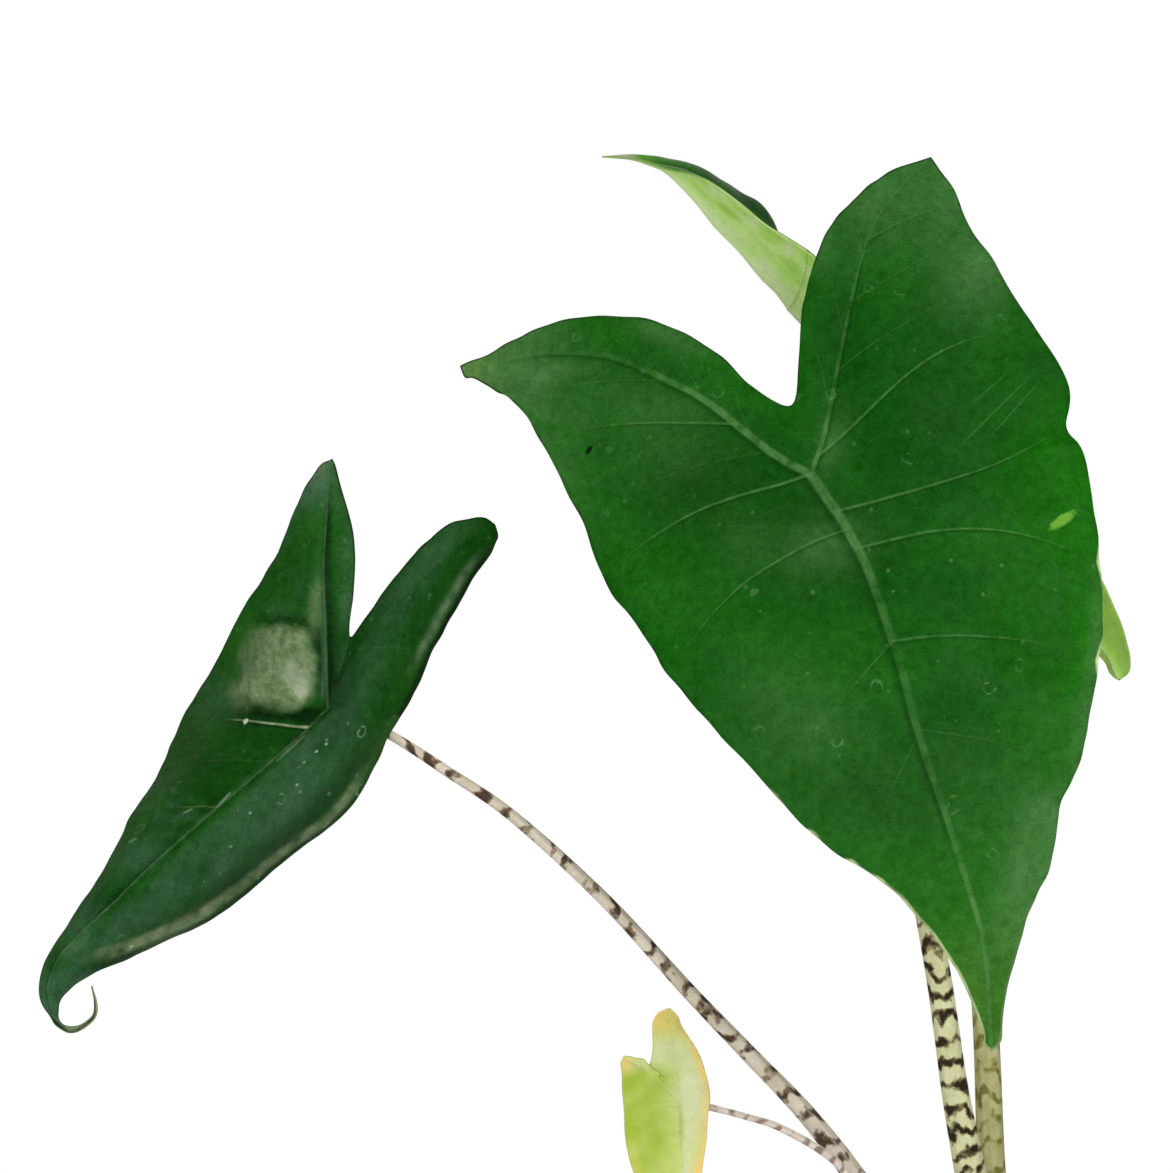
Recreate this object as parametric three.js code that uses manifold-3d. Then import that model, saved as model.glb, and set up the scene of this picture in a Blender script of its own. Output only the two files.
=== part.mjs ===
import * as THREE from 'three';
import { mergeVertices } from 'three/addons/utils/BufferGeometryUtils.js';
import Module from 'manifold-3d';

// A potted alocasia zebrina with four leaves on banded stems
// Millimetres, origin at the centre of the pot's underside, +Z up, +Y away from the viewer

// Pot
const POT_HEIGHT = 150;
const POT_TOP_DIAMETER = 170;
const POT_BASE_DIAMETER = 124;
const POT_WALL = 5;
const POT_FLOOR = 7;
const RIM_HEIGHT = 18;
const RIM_STEP = 3.5;
const EDGE_ROUNDING = 1.6;
const POT_SEGMENTS = 60;

// Soil
const SOIL_EDGE_Z = 130;
const SOIL_MOUND = 5;
const SOIL_UNEVENNESS = 0.8;
const SOIL_RINGS = 5;
const SOIL_SEGMENTS = 36;

// Gaps between touching pieces, the second one where a stem meets its blade
const GAP = 0.3;
const JOINT_GAP = 0.5;

// Stems
const STEM_BURIED_Z = 100;
const STEM_SIDES = 12;
const STEM_STEPS = 2;
const SHEATH_TOP_Z = 265;
const SHEATH_GROOVE = 0.3;
const SHEATH_WIDENING = 0.22;

// Leaves
const BLADE_THICKNESS = 0.8;
const EDGE_THICKNESS = 0.6;
const RIB_END_HEIGHT = 0.4;
const ROWS_PER_STATION = 2;
const RIB_WIDTH = 3;
const RINGS = [0, 0.3, 0.55, 0.8, 1];

// Each leaf: points are [right, back, up] from the joint where the stem meets the blade
// A midrib station is [foot, left edge, right edge], a lobe station is [foot, outer edge, inner edge]
// The first midrib station is the joint, and the last station of each rib is its tip
const LARGE_LEAF = {
  joint: [-75, -60, 489],
  ribHeight: 2,
  arch: 0.035,
  ripple: 1.6,
  midrib: [
    [[0, 0, 0], [-75, 4, -42], [93.5, 14, 29]],
    [[10, -7, -15], [-66, -3, -53], [92.3, 8, 14]],
    [[14, -11, -24], [-58, -9, -65], [98.7, 2.5, 1.5]],
    [[18, -16, -34], [-48, -16, -79], [102, -11, -33]],
    [[27, -26, -61], [-15, -34, -114], [100, -24, -67]],
    [[31, -31.3, -76.5], [-2.2, -39.2, -126.8], [95.9, -30.7, -85.5]],
    [[35, -36, -92], [11, -44, -136], [91, -37, -103]],
    [[40.6, -41.4, -109.2], [21, -47, -141.5], [83.9, -42, -117.8]],
    [[46, -46, -126], [30, -50, -150], [80, -48, -137]],
    [[51, -50, -143], [41, -53, -163], [72, -52, -153]],
    [[56, -53, -160], [50.3, -56, -179], [66, -55, -173]],
    [[58, -56, -179], [55.8, -58, -193], [63, -58, -189]],
    [[58.8, -58.3, -196.4], [56.1, -59, -197.1], [62, -59, -196.4]],
    [[59, -59, -200]],
  ],
  sinus: [-8, 11, 22],
  leftLobe: [
    [[-15.7, 5.3, 8], [-85, 16, -17], [-22, 16, 29.2]],
    [[-35.4, 15.5, 22], [-101, 33, 10], [-33.4, 24, 40.5]],
    [[-51, 24, 31], [-111, 42, 24], [-58, 36, 53]],
    [[-74, 35, 40], [-115.5, 48.3, 26.2], [-86, 45, 54]],
    [[-99, 44, 41], [-120.5, 51.2, 28.9], [-108, 49, 46.3]],
    [[-115.5, 50.3, 37.6], [-124.8, 53.2, 30.9], [-119.3, 52.5, 40]],
    [[-124.8, 53.5, 35.5], [-127.8, 54.2, 31.5], [-126, 54.3, 37.5]],
    [[-129.6, 55, 35.7]],
  ],
  rightLobe: [
    [[5, 5, 13], [82, 25, 51], [-5, 16, 35]],
    [[10, 15, 35], [72, 33, 68], [-2.4, 28, 58]],
    [[15, 27, 60], [63, 40, 83], [3.8, 38, 79]],
    [[22, 39, 83], [57, 47, 96], [14, 45, 94]],
    [[32, 48, 99], [52, 52, 106], [29, 52, 107]],
    [[47, 57, 114]],
  ],
};

const NARROW_LEAF = {
  joint: [-252, -45, 400],
  ribHeight: 1,
  arch: 0.06,
  ripple: 0.8,
  midrib: [
    [[0, 0, 0], [-56, 44, -4], [25, 29, -7]],
    [[-20, -12, -18], [-63, 23, -22], [14, 29, -28]],
    [[-38, -22, -33], [-70, 4, -35], [1, 25, -46]],
    [[-58, -33, -50], [-78, -16, -52], [-21.6, 13, -62.4]],
    [[-74, -42, -65], [-87, -31, -67], [-45, -4, -79]],
    [[-85, -48, -75], [-94, -41, -78], [-67, -22, -87]],
    [[-92, -52, -83], [-98, -47, -86], [-81, -36, -91]],
    [[-95, -56, -92], [-99, -52, -94], [-90, -49, -96]],
    [[-94, -54, -101], [-97, -52, -101], [-92, -52, -101]],
    [[-90, -53, -106], [-90, -55, -107], [-91, -51, -106]],
    [[-85.9, -52.5, -107.3], [-86, -53.8, -107.9], [-85.8, -51.3, -106.7]],
    [[-80.6, -51.5, -103.6], [-80.3, -52.6, -103.7], [-80.9, -50.5, -103.5]],
    [[-79.9, -51, -99], [-79.7, -51.9, -99.1], [-80.1, -50.2, -98.9]],
    [[-80.9, -51, -92.8]],
  ],
  sinus: [7.8, 8, 25.5],
  leftLobe: [
    [[-1, 5, 15], [-43, 39, 18], [8.4, 14, 39]],
    [[-2, 12, 35], [-28, 35, 44], [9, 18, 50]],
    [[-3, 18, 53], [-19, 33, 60], [8, 23, 62]],
    [[-2, 24, 72], [-12.3, 33, 76], [4, 27, 77]],
    [[-1.2, 28.8, 87.3], [-5.3, 31, 87.3], [1.1, 29.5, 87.3]],
    [[-0.3, 30, 90.4]],
  ],
  rightLobe: [
    [[7, 9, 16], [34, 39, 10], [13.6, 15, 32.7]],
    [[20, 19, 32], [40.6, 43, 24], [20, 23, 42]],
    [[35, 30, 47], [50.4, 48, 41], [32, 33, 56]],
    [[47, 38, 57], [58, 50, 52], [42, 41, 64.3]],
    [[55, 43, 62], [61, 47, 58], [51, 44, 67]],
    [[57.8, 44.6, 63.6], [61.5, 48.5, 60.3], [56.5, 46, 67.1]],
    [[60.4, 46.3, 64.5]],
  ],
};

const YOUNG_LEAF = {
  joint: [-19, 60, 477],
  ribHeight: 1.4,
  arch: 0.05,
  ripple: 0.8,
  midrib: [
    [[0, 0, 0], [25, 40, 11], [17, -40, 22]],
    [[-19, 2, 21], [2, 42, 33], [-3, -40, 42]],
    [[-35, 0, 44], [-19, 42, 57], [-22, -43, 62]],
    [[-52, -4, 64], [-49, 36, 79], [-41, -46, 79]],
    [[-69, -7, 83], [-62.8, 31, 104.2], [-59, -45, 94]],
    [[-87, -10, 103], [-76, 23, 115], [-76, -42, 106]],
    [[-104, -13, 121], [-92, 8, 124], [-93, -34, 119]],
    [[-114, -16, 126], [-107, -6, 128], [-107, -25, 123]],
    [[-122, -18, 128], [-119, -15, 129], [-119, -20, 127]],
    [[-132, -20, 128]],
  ],
  sinus: [4, 0, -6],
  leftLobe: [
    [[19, 18, -20], [46, 48, -2], [14, 16, -20]],
    [[40, 30, -40], [57, 50, -23], [34, 28, -41]],
    [[58, 38, -57], [67, 48, -43], [54, 37, -57]],
    [[69, 43, -68]],
  ],
  rightLobe: [
    [[18, -15, -22], [37, -48, 0], [15, -12, -25]],
    [[39, -22, -45], [53.6, -45, -23], [34, -18, -47]],
    [[63, -28, -61.7], [69.7, -38, -54], [61.5, -24, -65.2]],
    [[68.4, -29.7, -71.8], [73.4, -34, -69.9], [67, -27, -72.9]],
    [[70, -30, -75.3]],
  ],
};

const OLD_LEAF = {
  joint: [-122, -30, 250],
  ribHeight: 0.8,
  arch: 0.05,
  ripple: 0.6,
  midrib: [
    [[0, 0, 0], [-21.6, 3, 2], [11, 2, 3]],
    [[1, -2, -7], [-20.6, 0, -7], [11, -1, -5]],
    [[1, -5, -16], [-20, -3, -17], [10, -4, -15]],
    [[2, -8, -28], [-16, -7, -30], [8, -7, -27]],
    [[3, -10, -43], [-10, -10, -45], [7, -10, -42]],
    [[4, -12, -57], [-2, -13, -59], [6, -12, -57]],
    [[4, -14, -71]],
  ],
  sinus: [-11, 5, 12],
  leftLobe: [
    [[-7, 2, 5], [-21.6, 5, 8], [-13, 5, 14]],
    [[-13, 4, 10], [-22, 6, 12], [-16, 6, 14.4]],
    [[-19.6, 6.7, 13.7], [-21.7, 6.8, 13.3], [-18.7, 6.8, 14.9]],
    [[-20.8, 7, 14.8]],
  ],
  rightLobe: [
    [[-1, 3, 8], [9, 4, 12], [-10, 7, 19]],
    [[-2, 6, 17], [5.4, 7, 19], [-10, 10, 26]],
    [[-3, 9, 25], [0.9, 10, 26], [-9.2, 10.8, 28.5]],
    [[-3.9, 11, 29.3], [-0.3, 11.5, 29.1], [-7.5, 11.8, 30.7]],
    [[-3.5, 12, 32.3]],
  ],
};

// Each stem: points are [x, y, z, radius] from the soil to the joint, and faces turn to the clump's centre
const LARGE_STEM = [
  [2, -12, 124, 8],
  [0, -13, 152, 7],
  [-4, -14, 184, 6.2],
  [-11, -18, 219, 5.6],
  [-18, -24, 253, 5],
  [-26, -31, 302, 4.6],
  [-39, -36, 365, 4.2],
  [-53, -38, 432, 3.8],
  [-64, -43, 469, 3.4],
  [-71, -51, 483, 3],
  [-75, -58.8, 488.5, 2.2],
];

const NARROW_STEM = [
  [-11, 3, 124, 7],
  [-19, 1, 152, 5.4],
  [-35, -3, 185, 4.5],
  [-56, -6, 217, 4.1],
  [-74, -6, 240, 3.6],
  [-96, -5, 263, 3.2],
  [-118, -4, 286, 2.9],
  [-150, -3, 321, 2.5],
  [-185, -2, 353, 2.2],
  [-211, -2, 371, 2],
  [-229, -3, 383, 1.8],
  [-242, -13, 391.5, 1.8],
  [-250, -31, 397.5, 1.8],
  [-252, -43.8, 399.6, 1.6],
];

const YOUNG_STEM = [
  [9, 8, 124, 7],
  [5, 9, 165, 5.7],
  [1, 13, 210, 5.2],
  [-1, 20, 265, 5],
  [-5, 30, 331, 4.6],
  [-12, 42, 400, 4.1],
  [-17, 53, 455, 3.5],
  [-19, 58, 469, 3.1],
  [-19.8, 59.9, 475, 1.8],
];

const OLD_STEM = [
  [-15, -12, 124, 2.8],
  [-25, -14, 156, 1.9],
  [-39, -17, 187, 1.6],
  [-53, -20, 211, 1.5],
  [-64, -21, 225, 1.4],
  [-83, -23, 237, 1.3],
  [-97, -24, 242, 1.2],
  [-111, -25, 246, 1.2],
  [-118, -26.8, 248.6, 1.2],
  [-121.5, -29, 249.7, 1],
];

const wasm = await Module();
wasm.setup();

function toSolid(geometry) {
  const bare = geometry.clone();
  bare.deleteAttribute('normal');
  bare.deleteAttribute('uv');
  const merged = mergeVertices(bare, 1e-4);
  return new wasm.Manifold(new wasm.Mesh({
    numProp: 3,
    vertProperties: new Float32Array(merged.attributes.position.array),
    triVerts: new Uint32Array(merged.index.array),
  }));
}

function toGeometry(solid) {
  const mesh = solid.getMesh();
  const geometry = new THREE.BufferGeometry();
  geometry.setAttribute('position', new THREE.BufferAttribute(mesh.vertProperties, 3));
  geometry.setIndex(new THREE.BufferAttribute(mesh.triVerts, 1));
  geometry.computeVertexNormals();
  return geometry;
}

function smoothLine(points) {
  return new THREE.CatmullRomCurve3(points, false, 'catmullrom', 0.5);
}

function sampleLine(points, steps) {
  const count = (points.length - 1) * steps;
  return smoothLine(points).getPoints(count);
}

const asVector = (point) => new THREE.Vector3(...point);

// The rows of a blade in walking order: tip, left edge, left lobe, sinus, right lobe, right edge, tip
function bladeRows(leaf) {
  const origin = leaf.midrib[0];
  const column = (stations, k) => stations.map((station) => asVector(station[k] ?? station[0]));
  const ribs = [
    column(leaf.midrib, 0),
    [asVector(origin[0]), ...column(leaf.leftLobe, 0)],
    [asVector(origin[0]), ...column(leaf.rightLobe, 0)],
  ].map((points) => sampleLine(points, ROWS_PER_STATION));
  const reversed = (points) => [...points].reverse();
  const leftEdge = sampleLine([
    ...reversed(column(leaf.midrib, 1)),
    ...column(leaf.leftLobe, 1),
  ], ROWS_PER_STATION);
  const topEdge = sampleLine([
    ...reversed(column(leaf.leftLobe, 2)),
    asVector(leaf.sinus),
    ...column(leaf.rightLobe, 2),
  ], ROWS_PER_STATION);
  const rightEdge = sampleLine([
    ...reversed(column(leaf.rightLobe, 1)),
    ...column(leaf.midrib, 2),
  ], ROWS_PER_STATION);
  const edges = [...leftEdge, ...topEdge.slice(1), ...rightEdge.slice(1)];

  const feet = [];
  const walk = (rib, from, to) => {
    const step = Math.sign(to - from);
    for (let k = from; k !== to; k += step) feet.push({ rib, k });
  };
  const ends = ribs.map((rib) => rib.length - 1);
  walk(0, ends[0], 0);
  walk(1, 0, ends[1]);
  walk(1, ends[1], 0);
  walk(2, 0, ends[2]);
  walk(2, ends[2], 0);
  walk(0, 0, ends[0]);
  feet.push({ rib: 0, k: ends[0] });
  return feet.map(({ rib, k }, i) => ({
    key: k === 0 ? 'joint' : `${rib}:${k}`,
    foot: ribs[rib][k],
    along: k / ends[rib],
    edge: edges[i],
    atTip: k === ends[rib],
  }));
}

// A closed blade: rows of points from rib to edge, copied below by the blade's thickness
function bladeGeometry(leaf, grow = 0) {
  const rows = bladeRows(leaf);
  const upper = [];
  const depth = [];
  const shared = new Map();
  const addPoint = (point, thickness) => {
    upper.push(point);
    depth.push(thickness);
    return upper.length - 1;
  };
  const grid = rows.map((row, i) => {
    const before = rows[Math.max(i - 1, 0)].edge;
    const after = rows[Math.min(i + 1, rows.length - 1)].edge;
    const reach = row.edge.clone().sub(row.foot);
    const upward = after.clone().sub(before).cross(reach).normalize();
    const ripple = leaf.ripple * Math.sin(i * Math.PI / ROWS_PER_STATION);
    if (!shared.has(row.key)) {
      const rib = RIB_END_HEIGHT + (leaf.ribHeight - RIB_END_HEIGHT) * (1 - row.along);
      shared.set(row.key, addPoint(row.foot.clone(), BLADE_THICKNESS + rib));
    }
    const first = shared.get(row.key);
    const ribSide = Math.min(0.22, RIB_WIDTH * (1 - 0.6 * row.along) / reach.length());
    return [0, ribSide, ...RINGS.slice(1)].map((v) => {
      if (v === 0 || row.atTip) return first;
      const arch = leaf.arch * reach.length() * 4 * v * (1 - v);
      const lift = arch + ripple * v ** 3 * Math.min(1, reach.length() / 40);
      const point = row.foot.clone().addScaledVector(reach, v).addScaledVector(upward, lift);
      return addPoint(point, v === 1 ? EDGE_THICKNESS : BLADE_THICKNESS);
    });
  });

  const faces = [];
  const addFace = (a, b, c) => {
    if (a !== b && b !== c && c !== a) faces.push([a, b, c]);
  };
  const last = RINGS.length;
  for (let i = 0; i < rows.length - 1; i += 1) {
    for (let j = 0; j < last; j += 1) {
      addFace(grid[i][j], grid[i + 1][j], grid[i + 1][j + 1]);
      addFace(grid[i][j], grid[i + 1][j + 1], grid[i][j + 1]);
    }
  }

  const normals = upper.map(() => new THREE.Vector3());
  for (const [a, b, c] of faces) {
    const normal = upper[b].clone().sub(upper[a]).cross(upper[c].clone().sub(upper[a]));
    for (const corner of [a, b, c]) normals[corner].add(normal);
  }
  normals.forEach((normal) => normal.normalize());
  const top = upper.map((point, k) => point.clone().addScaledVector(normals[k], grow));
  const bottom = upper.map((point, k) => point.clone().addScaledVector(normals[k], -depth[k] - grow));

  const count = upper.length;
  const triangles = [];
  for (const [a, b, c] of faces) {
    triangles.push(a, b, c, a + count, c + count, b + count);
  }
  for (let i = 0; i < rows.length - 1; i += 1) {
    const a = grid[i][last];
    const b = grid[i + 1][last];
    triangles.push(a, b, b + count, a, b + count, a + count);
  }
  return surfaceGeometry([...top, ...bottom], triangles, leaf.joint);
}

function surfaceGeometry(points, triangles, place = [0, 0, 0]) {
  const geometry = new THREE.BufferGeometry().setFromPoints(points);
  geometry.setIndex(triangles);
  geometry.translate(...place);
  geometry.computeVertexNormals();
  return geometry;
}

// A stem's cross-section is round above and hollowed on the side that faces the clump's centre below
function sectionPoint(angle, radius, inward, sheath) {
  const facing = Math.max(0, Math.cos(angle - inward));
  const across = Math.sin(angle - inward);
  const r = radius * (1 - SHEATH_GROOVE * sheath * facing ** 2 + SHEATH_WIDENING * sheath * across ** 2);
  return [r * Math.cos(angle), r * Math.sin(angle)];
}

function stemGeometry(stem, grow = 0) {
  const [x, y, z, baseRadius] = stem[0];
  const bottom = [x, y, STEM_BURIED_Z - grow, baseRadius];
  const knots = [bottom, [x, y, z - 6, baseRadius], ...stem];
  const path = sampleLine(knots.map(([px, py, pz]) => new THREE.Vector3(px, py, pz)), STEM_STEPS);
  const radii = sampleLine(knots.map((knot) => new THREE.Vector3(knot[3], 0, 0)), STEM_STEPS);
  const inward = Math.atan2(-y, -x);
  let side = new THREE.Vector3(1, 0, 0);
  const points = [];
  path.forEach((centre, i) => {
    const ahead = path[Math.min(i + 1, path.length - 1)].clone().sub(path[Math.max(i - 1, 0)]).normalize();
    side = side.clone().addScaledVector(ahead, -side.dot(ahead)).normalize();
    const other = ahead.clone().cross(side);
    const sheath = THREE.MathUtils.clamp((SHEATH_TOP_Z - centre.z) / (SHEATH_TOP_Z - SOIL_EDGE_Z), 0, 1);
    for (let k = 0; k < STEM_SIDES; k += 1) {
      const angle = 2 * Math.PI * k / STEM_SIDES;
      const [u, v] = sectionPoint(angle, radii[i].x + grow, inward, sheath);
      points.push(centre.clone().addScaledVector(side, u).addScaledVector(other, v));
    }
  });
  const triangles = [];
  const ringCount = path.length;
  for (let i = 0; i < ringCount - 1; i += 1) {
    for (let k = 0; k < STEM_SIDES; k += 1) {
      const a = i * STEM_SIDES + k;
      const b = i * STEM_SIDES + (k + 1) % STEM_SIDES;
      triangles.push(a, b, b + STEM_SIDES, a, b + STEM_SIDES, a + STEM_SIDES);
    }
  }
  const foot = points.length;
  const head = foot + 1;
  points.push(path[0].clone(), path[ringCount - 1].clone());
  for (let k = 0; k < STEM_SIDES; k += 1) {
    const next = (k + 1) % STEM_SIDES;
    const top = (ringCount - 1) * STEM_SIDES;
    triangles.push(foot, next, k, head, top + k, top + next);
  }
  return surfaceGeometry(points, triangles);
}

// The outside and inside of the pot, turned about the vertical axis
function potGeometry() {
  const base = POT_BASE_DIAMETER / 2;
  const top = POT_TOP_DIAMETER / 2;
  const rimZ = POT_HEIGHT - RIM_HEIGHT;
  const round = EDGE_ROUNDING;
  const profile = [
    [0, 0],
    [base - round, 0],
    [base, round],
    [top - RIM_STEP, rimZ - round],
    [top - RIM_STEP + round, rimZ],
    [top - round, rimZ],
    [top, rimZ + round],
    [top, POT_HEIGHT - round],
    [top - round, POT_HEIGHT],
    [top - POT_WALL - 1, POT_HEIGHT],
    [top - POT_WALL - 1 - round, POT_HEIGHT - round],
    [innerRadius(POT_FLOOR + 4), POT_FLOOR + 4],
    [innerRadius(POT_FLOOR) - 4, POT_FLOOR],
    [0, POT_FLOOR],
  ];
  return turned(profile, POT_SEGMENTS);
}

function innerRadius(z) {
  const bottom = POT_BASE_DIAMETER / 2 - POT_WALL;
  const top = POT_TOP_DIAMETER / 2 - POT_WALL - 1 - EDGE_ROUNDING;
  return bottom + (top - bottom) * z / (POT_HEIGHT - EDGE_ROUNDING);
}

function turned(profile, segments) {
  const geometry = new THREE.LatheGeometry(profile.map(([r, z]) => new THREE.Vector2(r, z)), segments);
  geometry.rotateX(Math.PI / 2);
  return geometry;
}

// The soil fills the pot to below its rim, with a low uneven mound around the stems
function soilHeight(x, y) {
  const edge = innerRadius(SOIL_EDGE_Z);
  const mound = SOIL_MOUND * (1 - (x * x + y * y) / (edge * edge));
  const bumps = Math.sin(x * 0.21 + 1.3) * Math.cos(y * 0.17) + Math.sin(x * 0.09 - y * 0.12);
  return SOIL_EDGE_Z + mound + SOIL_UNEVENNESS * bumps * 0.5;
}

function soilGeometry() {
  const floorZ = POT_FLOOR + GAP;
  const edge = innerRadius(SOIL_EDGE_Z) - GAP;
  const points = [new THREE.Vector3(0, 0, soilHeight(0, 0))];
  const addRing = (radius, height) => {
    for (let k = 0; k < SOIL_SEGMENTS; k += 1) {
      const angle = 2 * Math.PI * k / SOIL_SEGMENTS;
      const x = radius * Math.cos(angle);
      const y = radius * Math.sin(angle);
      points.push(new THREE.Vector3(x, y, height(x, y)));
    }
  };
  for (let ring = 1; ring <= SOIL_RINGS; ring += 1) {
    addRing(edge * ring / SOIL_RINGS, soilHeight);
  }
  addRing(innerRadius(POT_FLOOR + 4) - GAP, () => POT_FLOOR + 4);
  addRing(innerRadius(POT_FLOOR) - 4 - GAP, () => floorZ);
  const ringStart = (ring) => 1 + ring * SOIL_SEGMENTS;
  const rings = SOIL_RINGS + 2;
  const centre = points.length;
  points.push(new THREE.Vector3(0, 0, floorZ));
  const triangles = [];
  for (let k = 0; k < SOIL_SEGMENTS; k += 1) {
    const next = (k + 1) % SOIL_SEGMENTS;
    triangles.push(0, ringStart(0) + k, ringStart(0) + next);
    triangles.push(centre, ringStart(rings - 1) + next, ringStart(rings - 1) + k);
    for (let ring = 0; ring < rings - 1; ring += 1) {
      const a = ringStart(ring) + k;
      const b = ringStart(ring) + next;
      triangles.push(a, a + SOIL_SEGMENTS, b + SOIL_SEGMENTS, a, b + SOIL_SEGMENTS, b);
    }
  }
  return surfaceGeometry(points, triangles);
}

const PLANT = [
  { name: 'large_leaf', leaf: LARGE_LEAF, stem: LARGE_STEM, blade: '#22591f', stalk: '#a8a77e' },
  { name: 'narrow_leaf', leaf: NARROW_LEAF, stem: NARROW_STEM, blade: '#1e4a1b', stalk: '#92806d' },
  { name: 'young_leaf', leaf: YOUNG_LEAF, stem: YOUNG_STEM, blade: '#86ab58', stalk: '#888345' },
  { name: 'old_leaf', leaf: OLD_LEAF, stem: OLD_STEM, blade: '#b2bf5e', stalk: '#a3a36a' },
];

const plant = new THREE.Group();

function addMesh(name, geometry, colour, roughness) {
  const material = new THREE.MeshStandardMaterial({ color: colour, roughness, metalness: 0 });
  const mesh = new THREE.Mesh(geometry, material);
  mesh.name = name;
  plant.add(mesh);
}

let soil = toSolid(soilGeometry());
for (const { name, leaf, stem, blade, stalk } of PLANT) {
  const clearance = toSolid(bladeGeometry(leaf, JOINT_GAP));
  const stemSolid = toSolid(stemGeometry(stem)).subtract(clearance);
  soil = soil.subtract(toSolid(stemGeometry(stem, GAP)));
  addMesh(`${name}_blade`, bladeGeometry(leaf), blade, 0.35);
  addMesh(`${name}_petiole`, toGeometry(stemSolid), stalk, 0.5);
}
addMesh('potting_soil', toGeometry(soil), '#3b2c22', 0.95);
addMesh('pot', potGeometry(), '#e4e0d8', 0.4);

export default plant;
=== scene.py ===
"""A potted alocasia zebrina: four arrow-shaped leaves on banded stalks, in a plain pot of bark mix.

Every piece of the frame is replaced by a finer surface of the same form. Lengths are in millimetres
until a mesh is made, and +Y points away from the viewer.
"""

import math

import bpy
import numpy as np
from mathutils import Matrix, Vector


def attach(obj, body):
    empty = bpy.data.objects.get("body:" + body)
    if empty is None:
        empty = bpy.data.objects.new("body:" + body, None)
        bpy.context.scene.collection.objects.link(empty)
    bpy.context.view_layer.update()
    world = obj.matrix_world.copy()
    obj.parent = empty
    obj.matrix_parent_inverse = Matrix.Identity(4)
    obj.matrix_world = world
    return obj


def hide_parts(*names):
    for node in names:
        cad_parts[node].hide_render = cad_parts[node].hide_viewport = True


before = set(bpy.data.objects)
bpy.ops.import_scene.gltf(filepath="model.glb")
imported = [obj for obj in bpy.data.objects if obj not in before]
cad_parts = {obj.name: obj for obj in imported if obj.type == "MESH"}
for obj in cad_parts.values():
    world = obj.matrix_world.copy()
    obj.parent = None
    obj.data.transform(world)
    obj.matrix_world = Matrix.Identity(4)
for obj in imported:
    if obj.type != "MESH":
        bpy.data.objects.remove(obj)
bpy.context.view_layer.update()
MM = 0.001

# Camera and stage, in metres
CAMERA_TARGET = (-0.157, 0.0, 0.441)
CAMERA_DISTANCE = 1.25
CAMERA_ELEVATION = math.radians(5)
FRAME_WIDTH = 0.4457
SENSOR = 36.0
FLOOR_RADIUS = 1.6
FLOOR_FADE_START = 0.3
FLOOR_FADE_END = 0.74
BACKDROP_RADIUS = 20.0
WORLD_COLOUR = (0.97, 0.985, 1.0, 1)
WORLD_STRENGTH = 0.25

# A light is (name, place, target, size, power, colour)
LIGHTS = [
    ("key", (0.9, -1.3, 1.6), (-0.1, 0, 0.4), 1.0, 24, (1.0, 0.99, 0.97)),
    ("fill", (-1.3, -1.3, 0.7), (-0.1, 0, 0.35), 1.2, 12, (0.98, 0.99, 1.0)),
    ("low", (-0.3, -1.5, 0.1), (-0.15, 0, 0.4), 1.0, 7, (1.0, 1.0, 1.0)),
    ("back", (0.2, 1.5, 1.4), (-0.1, 0, 0.35), 1.0, 8, (1.0, 1.0, 1.0)),
]

# Pot
POT_HEIGHT = 150
POT_TOP_DIAMETER = 170
POT_BASE_DIAMETER = 124
POT_WALL = 5
POT_FLOOR = 7
RIM_HEIGHT = 18
RIM_STEP = 3.5
RIM_THICKENING = 1
EDGE_ROUNDING = 1.6
POT_SEGMENTS = 160

# Soil. A lump size is (height, wavelength, seed)
SOIL_EDGE_Z = 130
SOIL_MOUND = 5
SOIL_GAP = 0.3
SOIL_LUMPS = [(0.8, 26, 11), (0.45, 8, 12), (0.3, 3.2, 13)]
SOIL_RINGS = 90
SOIL_SEGMENTS = 260

# Loose pieces on the soil. The lift is the height of a piece's middle above the soil, in its own sizes
LOOSE_PIECES = {
    "soil_crumbs": {"count": 900, "sizes": (0.8, 2.2), "flatness": (0.5, 1.0), "seed": 21,
                    "lift": 0.1, "tilt": math.pi, "rough": 0.22},
    "bark_chips": {"count": 150, "sizes": (2.5, 5.5), "flatness": (0.22, 0.4), "seed": 22,
                   "lift": 0.12, "tilt": 0.6, "rough": 0.12},
    "perlite_grains": {"count": 90, "sizes": (0.9, 1.9), "flatness": (0.7, 1.0), "seed": 23,
                       "lift": 0.2, "tilt": math.pi, "rough": 0.22},
}

# Stalks
STEM_BURIED_Z = 100
STEM_UPRIGHT = 6
STEM_SIDES = 40
STEM_STEPS = 16
SHEATH_TOP_Z = 265
SHEATH_GROOVE = 0.3
SHEATH_WIDENING = 0.22
SHEATH_LIP = 0.5
SHEATH_LIP_PLACE = 0.72
SHEATH_LIP_WIDTH = 0.1
FLUTES = 9
FLUTE_DEPTH = 0.024
FLUTE_TWIST = 0.02
JOINT_SWELLING = 0.2
SWELLING_LENGTH = 14
TOP_TAPER = 0.6
TOP_TAPER_LENGTH = 2.5

# Leaves
BLADE_THICKNESS = 0.8
EDGE_THICKNESS = 0.6
EDGE_BULGE = 0.25
EDGE_UNEVENNESS = 0.3
RING_CROWDING = 1.4
RIPPLE_LENGTH = 40
RIPPLE_GAP = 15
RIB_END_HEIGHT = 0.4
RIB_TAPER = 0.65
RIB_BLEND = 6.0
VEIN_HALF_WIDTH = 0.3
VEIN_WIDENING = 0.28
VEIN_FAINTNESS_COST = 4
VEIN_FADE = 0.3
VEIN_REACH = 4
VALLEY_WIDTH = 7
RIDGE_WIDTH = 1.1
VEIN_GAP_LIMIT = 50.0
FAR_OFF = 1e3
PAINTS = ("fresh", "pale", "warm", "deep", "spots", "rim_light", "rib_fade")

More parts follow.
